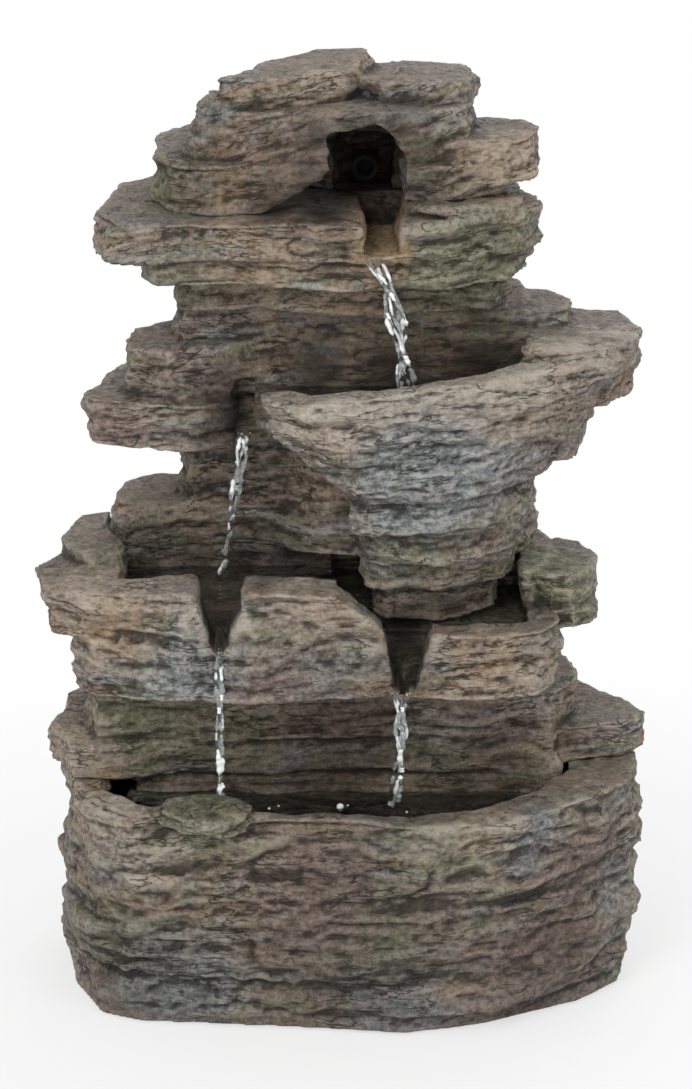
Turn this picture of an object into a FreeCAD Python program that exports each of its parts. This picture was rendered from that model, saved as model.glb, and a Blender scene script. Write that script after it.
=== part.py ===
import FreeCAD, Part
import math
import os
import Sketcher

# Cascading rock fountain for a table top. Millimetres; X to the right, front towards -Y, Z up,
# origin on the table under the middle of the whole object.

SIZES = {
    # feet, seams and fits
    "foot_height": 3,
    "foot_sink": 2,
    "foot_radius": 9,
    "foot_spread_x": 76,
    "foot_spread_y": 46,
    "seam": 0.3,
    "door_clearance": 0.4,
    "running_clearance": 0.05,
    "seat_clearance": 0.1,
    # slopes of the rock faces
    "lean_slight": 5,
    "lean_steep": 14,
    "lean_shelving": 25,
    # split beds of the large rock faces
    "bed_relief": 5,
    "bed_bulge": 2.5,
    # basin
    "basin_floor": 7,
    "basin_foot_height": 33,
    "basin_belly_height": 32,
    "basin_rim_height": 30,
    "basin_wall_left": 15,
    "basin_wall_right": 28,
    "basin_wall_front": 13,
    "basin_wall_back": 12,
    "rim_stone_sink": 4,
    "rim_stone_height": 3,
    # plinth: pump chamber, splash curtain, rear door
    "plinth_sill_height": 16,
    "plinth_belt_height": 18,
    "plinth_head_height": 30,
    "plinth_rear": 82,
    "chamber_roof": 8,
    "curtain_front": 18,
    "curtain_thickness": 10,
    "curtain_half_width": 94,
    "window_half_width": 28,
    "window_height": 30,
    "door_half_width": 48,
    "door_sill": 3,
    "door_lintel": 7,
    "door_land": 6,
    "door_thickness": 5,
    "door_lip_depth": 4,
    "door_lip_wall": 3,
    "cord_notch_radius": 4,
    "cord_notch_height": 9,
    "finger_half_width": 14,
    "finger_height": 10,
    "finger_depth": 3,
    # lower tier
    "tray_height": 30,
    "tray_rim_height": 24,
    "apron_drop": 18,
    "right_rim_drop": 19,
    "boulder_base": 3,
    "boulder_height": 25,
    "horn_height": 5,
    "left_pool_depth": 24,
    "right_pool_depth": 26,
    "left_notch_depth": 27,
    "left_notch_x": -53,
    "left_notch_half": 3,
    "left_notch_mouth": 11,
    "right_notch_depth": 45,
    "right_notch_x": 24,
    "right_notch_half": 4,
    "right_notch_mouth": 8,
    "right_notch_right": 12,
    "right_notch_flank": 28,
    "right_notch_top": 32,
    # middle tier
    "core_height": 110,
    "core_foot_height": 56,
    "core_wall": 15,
    "core_roof": 14,
    "bowl_foot_drop": 20,
    "bowl_waist": 40,
    "bowl_rim": 86,
    "bowl_tilt": 7,
    "bowl_tilt_room": 18,
    "bowl_band": 14,
    "bowl_depth": 16,
    "bowl_rim_width": 13,
    "bowl_back_height": 108,
    "bowl_back_thickness": 30,
    "bowl_horn_height": 101,
    "bowl_horn_thickness": 29,
    "bowl_chin_thickness": 25,
    "ledge_low_height": 76,
    "ledge_low_thickness": 20,
    "ledge_high_height": 96,
    "ledge_high_thickness": 20,
    "spill_rise": 2,
    "spill_height": 10,
    "spill_reach": 25,
    "step_height": 20,
    "bump_height": 16,
    # upper tier
    "neck_height": 16,
    "shelf_height": 12,
    "spout_height": 17,
    "spout_right_height": 6,
    "channel_depth": 14,
    "channel_x": 14.5,
    "channel_half": 6.5,
    "channel_mouth": 10,
    # cap
    "cap_base_height": 21,
    "cap_mid_height": 20,
    "cap_top_height": 14,
    "cap_side_height": 9,
    "cap_ledge_base": 12,
    "cap_ledge_thickness": 17,
    "cave_left": 34,
    "cave_right": 24,
    "cave_height": 36,
    "cave_depth": 52,
    "conduit_half_width": 11,
    "conduit_height": 24,
    "conduit_back": 47,
    # water line
    "tube_x": 8,
    "tube_y": 38,
    "tube_bore": 5.6,
    "tube_wall": 1.8,
    "chimney_clearance": 1.6,
    "elbow_bend": 12,
    "elbow_sink": 5,
    "elbow_barb": 16,
    "elbow_bore": 3.8,
    "nozzle_end": 25,
    # pump
    "cup_height": 6,
    "cup_radius": 6.5,
    "cup_neck": 3.5,
    "cup_shoulder": 5,
    "cup_skirt": 1.6,
    "cup_wall": 1,
    "cup_hollow": 1,
    "cup_spread": 10,
    "pump_length": 62,
    "pump_width": 34,
    "pump_height": 36,
    "pump_wall": 2,
    "pump_corner": 4,
    "volute_depth": 14,
    "volute_radius": 13.5,
    "volute_back": 3,
    "motor_room": 3.5,
    "well_radius": 8.6,
    "well_wall": 1.5,
    "spigot_height": 12,
    "end_cap_thickness": 3,
    "end_cap_lip": 2,
    "core_gap": 0.3,
    "core_leg": 4,
    "core_stack": 14,
    "core_yoke": 7,
    "coil_build": 4,
    "rotor_gap": 0.4,
    "bush_length": 2.5,
    "bush_radius": 4,
    "end_play": 0.5,
    "hub_radius": 5,
    "shroud_gap": 1.5,
    "shroud_thickness": 2,
    "shroud_radius": 12,
    "vane_height": 6.5,
    "vane_thickness": 1.6,
    "shaft_radius": 1.5,
    "volute_cover_thickness": 2.5,
    "front_bush_radius": 3.2,
    "inlet_radius": 2.4,
    "inlet_circle": 6.6,
    "intake_length": 14,
    "intake_wall": 1.6,
    "window_inner": 9.5,
    "window_outer": 14.5,
    "window_width": 3,
    "dial_stem": 2.5,
    "dial_radius": 6,
    "dial_thickness": 3,
    "dial_tab": 2,
    "shutter_radius": 15,
    "shutter_thickness": 1.6,
}

# Reach of every rock layer from the upright axis: left, right, front, back. The aprons end at the plinth.
REACHES = {
    "basin_foot": (122, 121, 84, 84),
    "basin_belly": (129, 127, 86, 86),
    "basin_rim": (124, 131, 82, 84),
    "rim_stone": (78, -38, 82, -52),
    "plinth_sill": (128, 134, 30, 84),
    "plinth_belt": (117, 105, 26, 84),
    "plinth_head": (106, 90, 20, 84),
    "chamber": (66, 62, 8, 68),
    "tray_rim": (127.7, 30, 56, 8),
    "tray_apron": (112, 30, 58),
    "tray_seat": (112, 92, 36, 80),
    "tray_right": (-30, 90, 57),
    "boulder": (-77, 109, 30, 30),
    "tray_horn": (125, -95, 22, 38),
    "left_pool": (95, 4, 33, 8),
    "right_pool": (4, 75, 38, 14),
    "core": (72, 76, 14, 80),
    "core_head": (72, 76, 14, 80),
    "bowl_foot": (-12, 66, 31, 4),
    "bowl_waist": (0, 84, 62, 22),
    "bowl_lip": (38, 126, 72, 28),
    "bowl_back": (-30, 98, 12, 48),
    "bowl_horn": (-50, 119, 40, 32),
    "bowl_chin": (-50, 98, 30, 24),
    "ledge_low": (108, -50, 42, 30),
    "ledge_high": (98, -22, 35, 30),
    "step": (99, -50, -4, 45),
    "bump": (-50, 84, 10, 40),
    "neck": (68, 66, 24, 74),
    "shelf": (84, 75, 47, 62),
    "spout": (104, 79, 51, 58),
    "spout_right": (-23, 72, 44, 8),
    "cap_base": (80, 66, 36, 56),
    "cap_right": (40, 68, 34, 54),
    "cap_ledge": (-30, 81, 24, 36),
    "cap_mid": (66, 58, 33, 50),
    "cap_top": (54, 14, 22, 44),
    "cap_side": (-5, 55, 10, 42),
}

# Layer outlines as shares of the reaches: left to right, front to back.
BASIN = [(0.00, 0.50), (0.02, 0.30), (0.08, 0.14), (0.14, 0.08), (0.36, 0.04), (0.60, 0.00), (0.75, 0.05),
         (0.91, 0.19), (0.98, 0.32), (1.00, 0.50), (0.96, 0.72), (0.86, 0.90), (0.74, 1.00), (0.24, 1.00),
         (0.12, 0.90), (0.03, 0.72)]
BASIN_POOL = [(0.00, 0.50), (0.03, 0.24), (0.12, 0.08), (0.40, 0.02), (0.62, 0.00), (0.76, 0.06),
              (0.88, 0.20), (0.97, 0.36), (1.00, 0.60), (0.94, 0.84), (0.80, 1.00), (0.24, 1.00),
              (0.09, 0.82)]
SILL = [(0.00, 0.22), (0.04, 0.00), (0.12, 0.02), (0.26, 0.10), (0.50, 0.07), (0.73, 0.09), (0.86, 0.16),
        (0.95, 0.20), (1.00, 0.32), (0.97, 0.52), (0.86, 0.85), (0.76, 1.00), (0.22, 1.00), (0.12, 0.86),
        (0.02, 0.55)]
BLOCK = [(0.00, 0.24), (0.04, 0.04), (0.22, 0.06), (0.50, 0.00), (0.74, 0.04), (0.94, 0.08), (1.00, 0.26),
         (0.97, 0.62), (0.87, 0.90), (0.80, 1.00), (0.20, 1.00), (0.10, 0.88), (0.02, 0.62)]
CORE = [(0.00, 0.36), (0.04, 0.21), (0.30, 0.21), (0.44, 0.02), (0.50, 0.00), (0.74, 0.04), (0.94, 0.08),
        (1.00, 0.26), (0.97, 0.62), (0.87, 0.90), (0.80, 1.00), (0.20, 1.00), (0.10, 0.88), (0.02, 0.62)]
TRAY_RIM = [(0.00, 0.58), (0.04, 0.26), (0.14, 0.12), (0.37, 0.04), (0.59, 0.00), (0.85, 0.01), (1.00, 0.06),
            (1.00, 1.00), (0.17, 1.00), (0.06, 0.96)]
APRON = [(0.00, 0.50), (0.05, 0.18), (0.20, 0.06), (0.55, 0.00), (0.85, 0.02), (1.00, 0.06), (1.00, 1.00),
         (0.00, 1.00)]
RIGHT_RIM = [(0.00, 0.05), (0.50, 0.00), (0.85, 0.14), (1.00, 0.55), (0.97, 1.00), (0.00, 1.00)]
HORN = [(0.00, 0.50), (0.15, 0.22), (0.55, 0.00), (1.00, 0.10), (1.00, 0.42), (0.86, 0.47), (0.83, 0.62),
        (0.83, 1.00), (0.25, 0.95)]
PEBBLE = [(0.00, 0.30), (0.22, 0.05), (0.60, 0.00), (0.90, 0.16), (1.00, 0.50), (0.86, 0.84), (0.45, 1.00),
          (0.05, 0.85)]
LEDGE = [(0.00, 0.28), (0.05, 0.08), (0.40, 0.00), (0.80, 0.06), (1.00, 0.20), (1.00, 1.00), (0.30, 1.00),
         (0.05, 0.70)]
PLATE = [(0.00, 0.35), (0.05, 0.12), (0.30, 0.00), (0.58, 0.08), (1.00, 0.45), (1.00, 1.00), (0.30, 1.00),
         (0.05, 0.70)]
BOWL = [(0.00, 0.34), (0.02, 0.14), (0.14, 0.03), (0.50, 0.00), (0.75, 0.10), (0.93, 0.34), (1.00, 0.62),
        (0.95, 1.00), (0.04, 1.00)]
BOWL_POOL = [(0.00, 0.40), (0.14, 0.08), (0.50, 0.00), (0.74, 0.12), (0.92, 0.42), (0.90, 1.00), (0.00, 1.00)]
SPOUT = [(0.00, 0.26), (0.05, 0.10), (0.20, 0.03), (0.42, 0.01), (0.62, 0.00), (0.80, 0.06), (0.95, 0.20),
         (1.00, 0.44), (0.96, 0.78), (0.86, 1.00), (0.20, 1.00), (0.04, 0.72)]
CAP = [(0.00, 0.30), (0.05, 0.12), (0.24, 0.02), (0.52, 0.00), (0.80, 0.06), (0.96, 0.22), (1.00, 0.55),
       (0.86, 0.94), (0.55, 1.00), (0.14, 0.96), (0.02, 0.70)]
CAP_BASE = [(0.00, 0.30), (0.04, 0.12), (0.17, 0.02), (0.40, 0.00), (0.68, 0.04), (0.69, 0.50), (0.98, 0.52),
            (1.00, 0.70), (0.90, 0.92), (0.60, 1.00), (0.36, 1.00), (0.10, 0.96), (0.01, 0.70)]
CREST = [(0.00, 0.04), (0.40, 0.00), (0.78, 0.25), (1.00, 0.75), (0.95, 1.00), (0.62, 0.98), (0.30, 0.62)]
CAVE = [(0.00, 0.00), (1.00, 0.00), (0.97, 0.72), (0.79, 1.00), (0.45, 0.92), (0.38, 0.44), (0.17, 0.14)]
RECTANGLE = [(0.0, 0.0), (1.0, 0.0), (1.0, 1.0), (0.0, 1.0)]


class Size:
    """A length in millimetres together with the spreadsheet expression that it follows."""

    def __init__(self, value, text):
        self.value = value
        self.text = text

    def __add__(self, other):
        other = as_size(other)
        return Size(self.value + other.value, f"({self.text} + {other.text})")

    def __sub__(self, other):
        other = as_size(other)
        return Size(self.value - other.value, f"({self.text} - {other.text})")

    def __mul__(self, factor):
        return Size(self.value * factor, f"({self.text} * {factor})")

    def __neg__(self):
        return self * -1


def as_size(length):
    return length if isinstance(length, Size) else Size(length, str(length))


doc = FreeCAD.newDocument("Fountain")
sheet = doc.addObject("Spreadsheet::Sheet", "Sheet")
SIDES = ("left", "right", "front", "back")
cells = dict(SIZES)
for layer, reaches in REACHES.items():
    for side, length in zip(SIDES, reaches):
        cells[f"{layer}_{side}"] = length
dim = {}
for row, (alias, length) in enumerate(cells.items(), 1):
    sheet.set(f"A{row}", alias)
    sheet.set(f"B{row}", str(length))
    sheet.setAlias(f"B{row}", alias)
    dim[alias] = Size(length, f"Sheet.{alias}")
doc.recompute()
exported = []


def new_body(label, place=None):
    """An empty named body; place gives the position of its own origin."""
    body = doc.addObject("PartDesign::Body", label)
    body.Label = label
    if place:
        for axis, length in zip("xyz", place):
            body.setExpression(f"Placement.Base.{axis}", as_size(length).text)
    exported.append(body)
    return body


def origin_feature(body, role):
    return next(feature for feature in body.Origin.OriginFeatures if feature.Role == role)


def new_sketch(body, name, role, offset, tilt=None):
    """A sketch on one of the body's origin planes, moved along its normal; tilt lifts its right side."""
    drawing = body.newObject("Sketcher::SketchObject", name)
    drawing.AttachmentSupport = [(origin_feature(body, role), "")]
    drawing.MapMode = "FlatFace"
    if tilt is not None:
        drawing.AttachmentOffset = FreeCAD.Placement(
            FreeCAD.Vector(), FreeCAD.Rotation(FreeCAD.Vector(0, -1, 0), tilt.value))
        drawing.setExpression("AttachmentOffset.Rotation.Angle", tilt.text)
    drawing.setExpression("AttachmentOffset.Base.z", as_size(offset).text)
    return drawing


def hold(drawing, kind, edge, point, length):
    """Fix one coordinate of a sketch point to a size."""
    index = drawing.addConstraint(Sketcher.Constraint(kind, -1, 1, edge, point, length.value))
    drawing.setExpression(f"Constraints[{index}]", length.text)


def draw_polygon(drawing, corners):
    first = drawing.GeometryCount
    corners = [(as_size(x), as_size(y)) for x, y in corners]
    points = [FreeCAD.Vector(x.value, y.value, 0) for x, y in corners]
    count = len(points)
    for i in range(count):
        drawing.addGeometry(Part.LineSegment(points[i], points[(i + 1) % count]), False)
    for i in range(count):
        drawing.addConstraint(Sketcher.Constraint("Coincident", first + i, 2, first + (i + 1) % count, 1))
    for i, (x, y) in enumerate(corners):
        hold(drawing, "DistanceX", first + i, 1, x)
        hold(drawing, "DistanceY", first + i, 1, y)


def draw_rectangle(drawing, low_x, high_x, low_y, high_y):
    draw_polygon(drawing, [(low_x, low_y), (high_x, low_y), (high_x, high_y), (low_x, high_y)])


def draw_circle(drawing, x, y, radius):
    x, y, radius = as_size(x), as_size(y), as_size(radius)
    shape = Part.Circle(FreeCAD.Vector(x.value, y.value, 0), FreeCAD.Vector(0, 0, 1), radius.value)
    edge = drawing.addGeometry(shape, False)
    hold(drawing, "DistanceX", edge, 3, x)
    hold(drawing, "DistanceY", edge, 3, y)
    index = drawing.addConstraint(Sketcher.Constraint("Radius", edge, radius.value))
    drawing.setExpression(f"Constraints[{index}]", radius.text)


def draw_facets(drawing, x, y, radius, sides):
    """A regular polygon in place of a circle, for small round pieces."""
    x, y, radius = as_size(x), as_size(y), as_size(radius)
    turns = [2 * math.pi * i / sides for i in range(round(sides))]
    draw_polygon(drawing, [(x + radius * round(math.cos(turn), 5), y + radius * round(math.sin(turn), 5))
                           for turn in turns])


def extrude(body, kind, name, drawing, length, backwards=False, lean=None):
    """A pad or pocket of a sketch; lean slopes its sides."""
    feature = body.newObject(f"PartDesign::{kind}", name)
    feature.Profile = drawing
    feature.setExpression("Length", as_size(length).text)
    feature.Reversed = backwards
    if lean is not None:
        feature.setExpression("TaperAngle", lean.text)
    return feature


def spread(layer, plan):
    """Corners of a plan outline stretched to the four reaches of a layer."""
    left, right, front, back = (dim[f"{layer}_{side}"] for side in SIDES)
    return [((left + right) * u - left, (front + back) * v - front) for u, v in plan]


def slab(body, layer, plan, low, high, lean=None):
    """One rock layer of a casting between two levels."""
    drawing = new_sketch(body, layer + "_outline", "XY_Plane", low)
    draw_polygon(drawing, spread(layer, plan))
    return extrude(body, "Pad", layer + "_layer", drawing, high - low, lean=lean)


def beds(body, low_layer, high_layer, plan, low, high, count):
    """A rock face split into level beds, which pass from one outline to another; corners stand in or out."""
    height = (high - low) * (1 / count)
    for bed in range(count):
        share = (bed + 0.5) / count
        corners = []
        for i, (inner, outer) in enumerate(zip(spread(low_layer, plan), spread(high_layer, plan))):
            u, v = plan[i]
            reach = math.hypot(u - 0.5, v - 0.5)
            wave = (math.sin(2.4 * bed + 0.9 * i) + math.sin(1.3 * bed - 2.2 * i)) / 2
            out = dim["bed_bulge"] - dim["bed_relief"] * round(0.5 - 0.5 * wave, 3)
            x = inner[0] * (1 - share) + outer[0] * share + out * round((u - 0.5) / reach, 3)
            y = inner[1] * (1 - share) + outer[1] * share + out * round((v - 0.5) / reach, 3)
            corners.append((x, y))
        drawing = new_sketch(body, f"{low_layer}_bed_{bed}_outline", "XY_Plane", low + height * bed)
        draw_polygon(drawing, corners)
        extrude(body, "Pad", f"{low_layer}_bed_{bed}", drawing, height)


def sink(body, layer, plan, top, depth):
    """A pool or recess cut down from a level."""
    drawing = new_sketch(body, layer + "_outline", "XY_Plane", top)
    draw_polygon(drawing, spread(layer, plan))
    return extrude(body, "Pocket", layer + "_recess", drawing, depth)


def hollow_up(body, layer, plan, low, height):
    """A recess cut upwards from the underside."""
    drawing = new_sketch(body, layer + "_outline", "XY_Plane", low)
    draw_polygon(drawing, spread(layer, plan))
    return extrude(body, "Pocket", layer + "_hollow", drawing, height, backwards=True)


def cut_back(body, name, corners, start_y, length):
    """A cut with an upright outline (x, z) that runs from start_y towards the back."""
    drawing = new_sketch(body, name + "_outline", "XZ_Plane", -as_size(start_y))
    draw_polygon(drawing, corners)
    return extrude(body, "Pocket", name + "_cut", drawing, length)


def loft(body, name, plan, low_layer, low, high_layer, high, tilt=None):
    """A rock face that flares between two outlines."""
    lower = new_sketch(body, name + "_lower_outline", "XY_Plane", low)
    draw_polygon(lower, spread(low_layer, plan))
    upper = new_sketch(body, name + "_upper_outline", "XY_Plane", high, tilt)
    draw_polygon(upper, spread(high_layer, plan))
    feature = body.newObject("PartDesign::AdditiveLoft", name)
    feature.Profile = lower
    feature.Sections = [upper]
    feature.Ruled = True
    return feature


def chimney(body, top, depth):
    """The upright passage of the riser tube."""
    drawing = new_sketch(body, body.Label + "_chimney_outline", "XY_Plane", top)
    draw_circle(drawing, dim["tube_x"], dim["tube_y"], tube_radius + dim["chimney_clearance"])
    return extrude(body, "Pocket", body.Label + "_chimney", drawing, depth)


slight = dim["lean_slight"]
steep = dim["lean_steep"]
shelving = dim["lean_shelving"]
tube_radius = dim["tube_bore"] + dim["tube_wall"]

# Levels of the stack.
bottom = dim["foot_height"] - dim["foot_sink"]
floor = bottom + dim["basin_floor"]
belly = bottom + dim["basin_foot_height"]
collar = belly + dim["basin_belly_height"]
rim = collar + dim["basin_rim_height"]
belt = rim + dim["plinth_sill_height"]
head = belt + dim["plinth_belt_height"]
seat = head + dim["plinth_head_height"]
tray = seat + dim["tray_height"]
core_top = tray + dim["core_height"]
neck_top = core_top + dim["neck_height"]
shelf_top = neck_top + dim["shelf_height"]
spout_top = shelf_top + dim["spout_height"]
right_top = spout_top + dim["spout_right_height"]
cap_mid = spout_top + dim["cap_base_height"]
cap_top = cap_mid + dim["cap_mid_height"]
summit = cap_top + dim["cap_top_height"]

# Basin with the front pool.
basin = new_body("basin")
beds(basin, "basin_foot", "basin_belly", BASIN, bottom, belly, 3)
beds(basin, "basin_belly", "basin_rim", BASIN, belly, collar, 3)
beds(basin, "basin_rim", "basin_rim", BASIN, collar, rim, 2)
pool_left = -(dim["basin_rim_left"] - dim["basin_wall_left"])
pool_right = dim["basin_rim_right"] - dim["basin_wall_right"]
pool_front = -(dim["basin_rim_front"] - dim["basin_wall_front"])
pool_back = dim["basin_rim_back"] - dim["basin_wall_back"]
pool_corners = [((pool_right - pool_left) * u + pool_left, (pool_back - pool_front) * v + pool_front)
                for u, v in BASIN_POOL]
pool_outline = new_sketch(basin, "pool_outline", "XY_Plane", rim)
draw_polygon(pool_outline, pool_corners)
extrude(basin, "Pocket", "pool", pool_outline, rim - floor)
slab(basin, "rim_stone", PEBBLE, rim - dim["rim_stone_sink"], rim + dim["rim_stone_height"])
foot_corners = [(dim["foot_spread_x"] * x, dim["foot_spread_y"] * y)
                for x, y in ((-1, -1), (1, -1), (1, 1), (-1, 1))]
foot_seats = new_sketch(basin, "foot_seat_outline", "XY_Plane", bottom)
for x, y in foot_corners:
    draw_circle(foot_seats, x, y, dim["foot_radius"] + dim["seam"])
extrude(basin, "Pocket", "foot_seats", foot_seats, dim["foot_sink"], backwards=True)

# Plinth: hollow lower tower with the splash curtain, the rear door opening and the tube passage.
plinth = new_body("plinth")
slab(plinth, "plinth_sill", SILL, rim, belt)
slab(plinth, "plinth_belt", BLOCK, belt, head)
slab(plinth, "plinth_head", BLOCK, head, seat)
curtain = new_sketch(plinth, "curtain_outline", "XY_Plane", floor + dim["seam"])
half_curtain = dim["curtain_half_width"]
curtain_back = dim["curtain_thickness"] - dim["curtain_front"]
draw_rectangle(curtain, -half_curtain, half_curtain, -dim["curtain_front"], curtain_back)
extrude(plinth, "Pad", "curtain", curtain, belt - floor - dim["seam"])
hollow_up(plinth, "chamber", RECTANGLE, rim, seat - dim["chamber_roof"] - rim)
window = dim["window_half_width"]
cut_back(plinth, "curtain_window",
         [(-window, floor), (window, floor), (window, floor + dim["window_height"]),
          (-window, floor + dim["window_height"])],
         -dim["curtain_front"] - dim["curtain_thickness"], dim["curtain_thickness"] * 3)
wide = dim["plinth_sill_right"] * 2
cut_back(plinth, "rear_trim", [(-wide, bottom), (wide, bottom), (wide, summit), (-wide, summit)],
         dim["plinth_rear"], dim["plinth_rear"])
door_low = rim + dim["door_sill"]
door_high = seat - dim["door_lintel"]
door_half = dim["door_half_width"]
land = dim["door_land"]
door_seat = dim["plinth_rear"] - dim["door_thickness"]
cut_back(plinth, "door_recess", [(-door_half, door_low), (door_half, door_low), (door_half, door_high),
                                 (-door_half, door_high)], door_seat, dim["door_thickness"] * 2)
inner_half = door_half - land
cut_back(plinth, "door_opening", [(-inner_half, door_low + land), (inner_half, door_low + land),
                                  (inner_half, door_high - land), (-inner_half, door_high - land)],
         dim["tube_y"], dim["plinth_rear"] - dim["tube_y"])
chimney(plinth, seat, dim["chamber_roof"] * 2)

# Access door: plate in the recess, lip in the opening, cord notch below, finger recess outside.
door = new_body("access_door")
slack = dim["door_clearance"]
plate = new_sketch(door, "plate_outline", "XZ_Plane", -dim["plinth_rear"])
draw_rectangle(plate, slack - door_half, door_half - slack, door_low + slack, door_high - slack)
extrude(door, "Pad", "plate", plate, dim["door_thickness"])
lip = new_sketch(door, "lip_outline", "XZ_Plane", -door_seat)
lip_half = inner_half - slack
lip_low = door_low + land + slack
lip_high = door_high - land - slack
lip_wall = dim["door_lip_wall"]
draw_rectangle(lip, -lip_half, lip_half, lip_low, lip_high)
draw_rectangle(lip, lip_wall - lip_half, lip_half - lip_wall, lip_low + lip_wall, lip_high - lip_wall)
extrude(door, "Pad", "lip", lip, dim["door_lip_depth"])
notch = dim["cord_notch_radius"]
notch_top = door_low + land + dim["cord_notch_height"]
notch_start = door_seat - dim["door_lip_depth"] * 2
notch_length = dim["door_thickness"] + dim["door_lip_depth"] * 3
cut_back(door, "cord_notch", [(-notch, bottom), (notch, bottom), (notch, notch_top - notch),
                              (-notch, notch_top - notch)], notch_start, notch_length)
notch_arch = new_sketch(door, "cord_notch_arch", "XZ_Plane", -notch_start)
draw_circle(notch_arch, 0, notch_top - notch, notch)
extrude(door, "Pocket", "cord_notch_round", notch_arch, notch_length)
finger = dim["finger_half_width"]
finger_high = door_high - land
cut_back(door, "finger_recess", [(-finger, finger_high - dim["finger_height"]),
                                 (finger, finger_high - dim["finger_height"]), (finger, finger_high),
                                 (-finger, finger_high)],
         dim["plinth_rear"] - dim["finger_depth"], dim["door_thickness"])

# Lower tier: tray with two pools and the two pouring notches.
lower = new_body("lower_tier")
apron_low = seat - dim["apron_drop"]
rim_low = tray - dim["tray_rim_height"]
right_rim = tray - dim["right_rim_drop"]
apron_back = -(dim["plinth_head_front"] + dim["seam"])
slab(lower, "tray_seat", BLOCK, seat, tray)
slab(lower, "tray_rim", TRAY_RIM, rim_low, tray, steep)
for layer, plan, high in (("tray_apron", APRON, rim_low), ("tray_right", RIGHT_RIM, right_rim)):
    drawing = new_sketch(lower, layer + "_outline", "XY_Plane", apron_low)
    left, right, front = (dim[f"{layer}_{side}"] for side in SIDES[:3])
    draw_polygon(drawing, [((left + right) * u - left, (front + apron_back) * v - front) for u, v in plan])
    extrude(lower, "Pad", layer + "_layer", drawing, high - apron_low)
slab(lower, "boulder", PEBBLE, seat + dim["boulder_base"], seat + dim["boulder_base"] + dim["boulder_height"],
     -slight)
slab(lower, "tray_horn", HORN, tray, tray + dim["horn_height"], -steep)
sink(lower, "left_pool", RECTANGLE, tray, dim["left_pool_depth"])
sink(lower, "right_pool", RECTANGLE, tray, dim["right_pool_depth"])
left_lip = tray - dim["left_notch_depth"]
right_lip = tray - dim["right_notch_depth"]
above = tray + dim["horn_height"]
notch_front = -(dim["tray_apron_front"] * 2)
left_x = dim["left_notch_x"]
cut_back(lower, "left_notch", [(left_x - dim["left_notch_half"], left_lip),
                               (left_x + dim["left_notch_half"], left_lip),
                               (left_x + dim["left_notch_mouth"], above),
                               (left_x - dim["left_notch_mouth"], above)],
         notch_front, dim["tray_apron_front"] * 2 - dim["left_pool_front"])
right_x = dim["right_notch_x"]
right_side = right_x + dim["right_notch_right"]
cut_back(lower, "right_notch", [(right_x - dim["right_notch_half"], right_lip),
                                (right_x + dim["right_notch_half"], right_lip),
                                (right_side, right_rim), (right_side, above),
                                (right_x - dim["right_notch_top"], above),
                                (right_x - dim["right_notch_flank"], tray),
                                (right_x - dim["right_notch_mouth"], right_rim)],
         notch_front, dim["tray_apron_front"] * 2 - dim["right_pool_front"])
chimney(lower, tray, dim["tray_height"] * 1.5)

# Middle tier: hollow core, flaring bowl rock, ledges on the left, rock rim at the back right.
middle = new_body("middle_tier")
core_step = tray + dim["core_foot_height"]
beds(middle, "core", "core", CORE, tray, core_step, 4)
beds(middle, "core_head", "core_head", BLOCK, core_step, core_top, 4)
waist = tray + dim["bowl_waist"]
bowl_rim = tray + dim["bowl_rim"]
beds(middle, "bowl_foot", "bowl_waist", BOWL, tray - dim["bowl_foot_drop"], waist, 4)
band_low = bowl_rim - dim["bowl_band"]
loft(middle, "bowl_upper_face", BOWL, "bowl_waist", waist, "bowl_lip", band_low, dim["bowl_tilt"])
band_outline = new_sketch(middle, "bowl_band_outline", "XY_Plane", band_low, dim["bowl_tilt"])
draw_polygon(band_outline, spread("bowl_lip", BOWL))
extrude(middle, "Pad", "bowl_band", band_outline, dim["bowl_band"])
for layer, plan, lean in (("bowl_back", PEBBLE, -slight), ("bowl_horn", PEBBLE, steep),
                          ("ledge_low", LEDGE, slight), ("ledge_high", PLATE, -steep)):
    high = tray + dim[f"{layer}_height"]
    slab(middle, layer, plan, high - dim[f"{layer}_thickness"], high, lean)
chin_top = tray + dim["bowl_horn_height"] - dim["bowl_horn_thickness"]
slab(middle, "bowl_chin", PEBBLE, chin_top - dim["bowl_chin_thickness"], chin_top, shelving)
slab(middle, "step", LEDGE, tray, tray + dim["step_height"])
slab(middle, "bump", PEBBLE, tray, tray + dim["bump_height"], -slight)
inset = dim["bowl_rim_width"]
bowl_left = dim["bowl_lip_left"] - inset
bowl_right = dim["bowl_lip_right"] - inset * 3
bowl_front = dim["bowl_lip_front"] - inset
bowl_outline = new_sketch(middle, "bowl_pool_outline", "XY_Plane", bowl_rim + dim["bowl_tilt_room"])
draw_polygon(bowl_outline, [((bowl_left + bowl_right) * u - bowl_left,
                             (bowl_front - dim["core_front"]) * v - bowl_front) for u, v in BOWL_POOL])
extrude(middle, "Pocket", "bowl_pool", bowl_outline, dim["bowl_depth"] + dim["bowl_tilt_room"])
spill_low = bowl_rim - dim["bowl_depth"] + dim["spill_rise"]
spill_high = spill_low + dim["spill_height"]
spill_left = -bowl_left - dim["spill_reach"]
spill_front = -(dim["ledge_low_front"] + dim["seam"])
cut_back(middle, "spill", [(spill_left, spill_low), (-bowl_left + inset, spill_low),
                           (-bowl_left + inset, spill_high), (spill_left, spill_high)],
         spill_front, -spill_front - dim["core_front"])
core_hollow = new_sketch(middle, "core_hollow_outline", "XY_Plane", tray)
core_wall = dim["core_wall"]
hollow_width = dim["core_left"] + dim["core_right"] - core_wall * 2
hollow_depth = dim["core_front"] + dim["core_back"] - core_wall * 3
draw_polygon(core_hollow, [(hollow_width * u + core_wall - dim["core_left"],
                            hollow_depth * v + core_wall * 2 - dim["core_front"]) for u, v in BLOCK])
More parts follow.
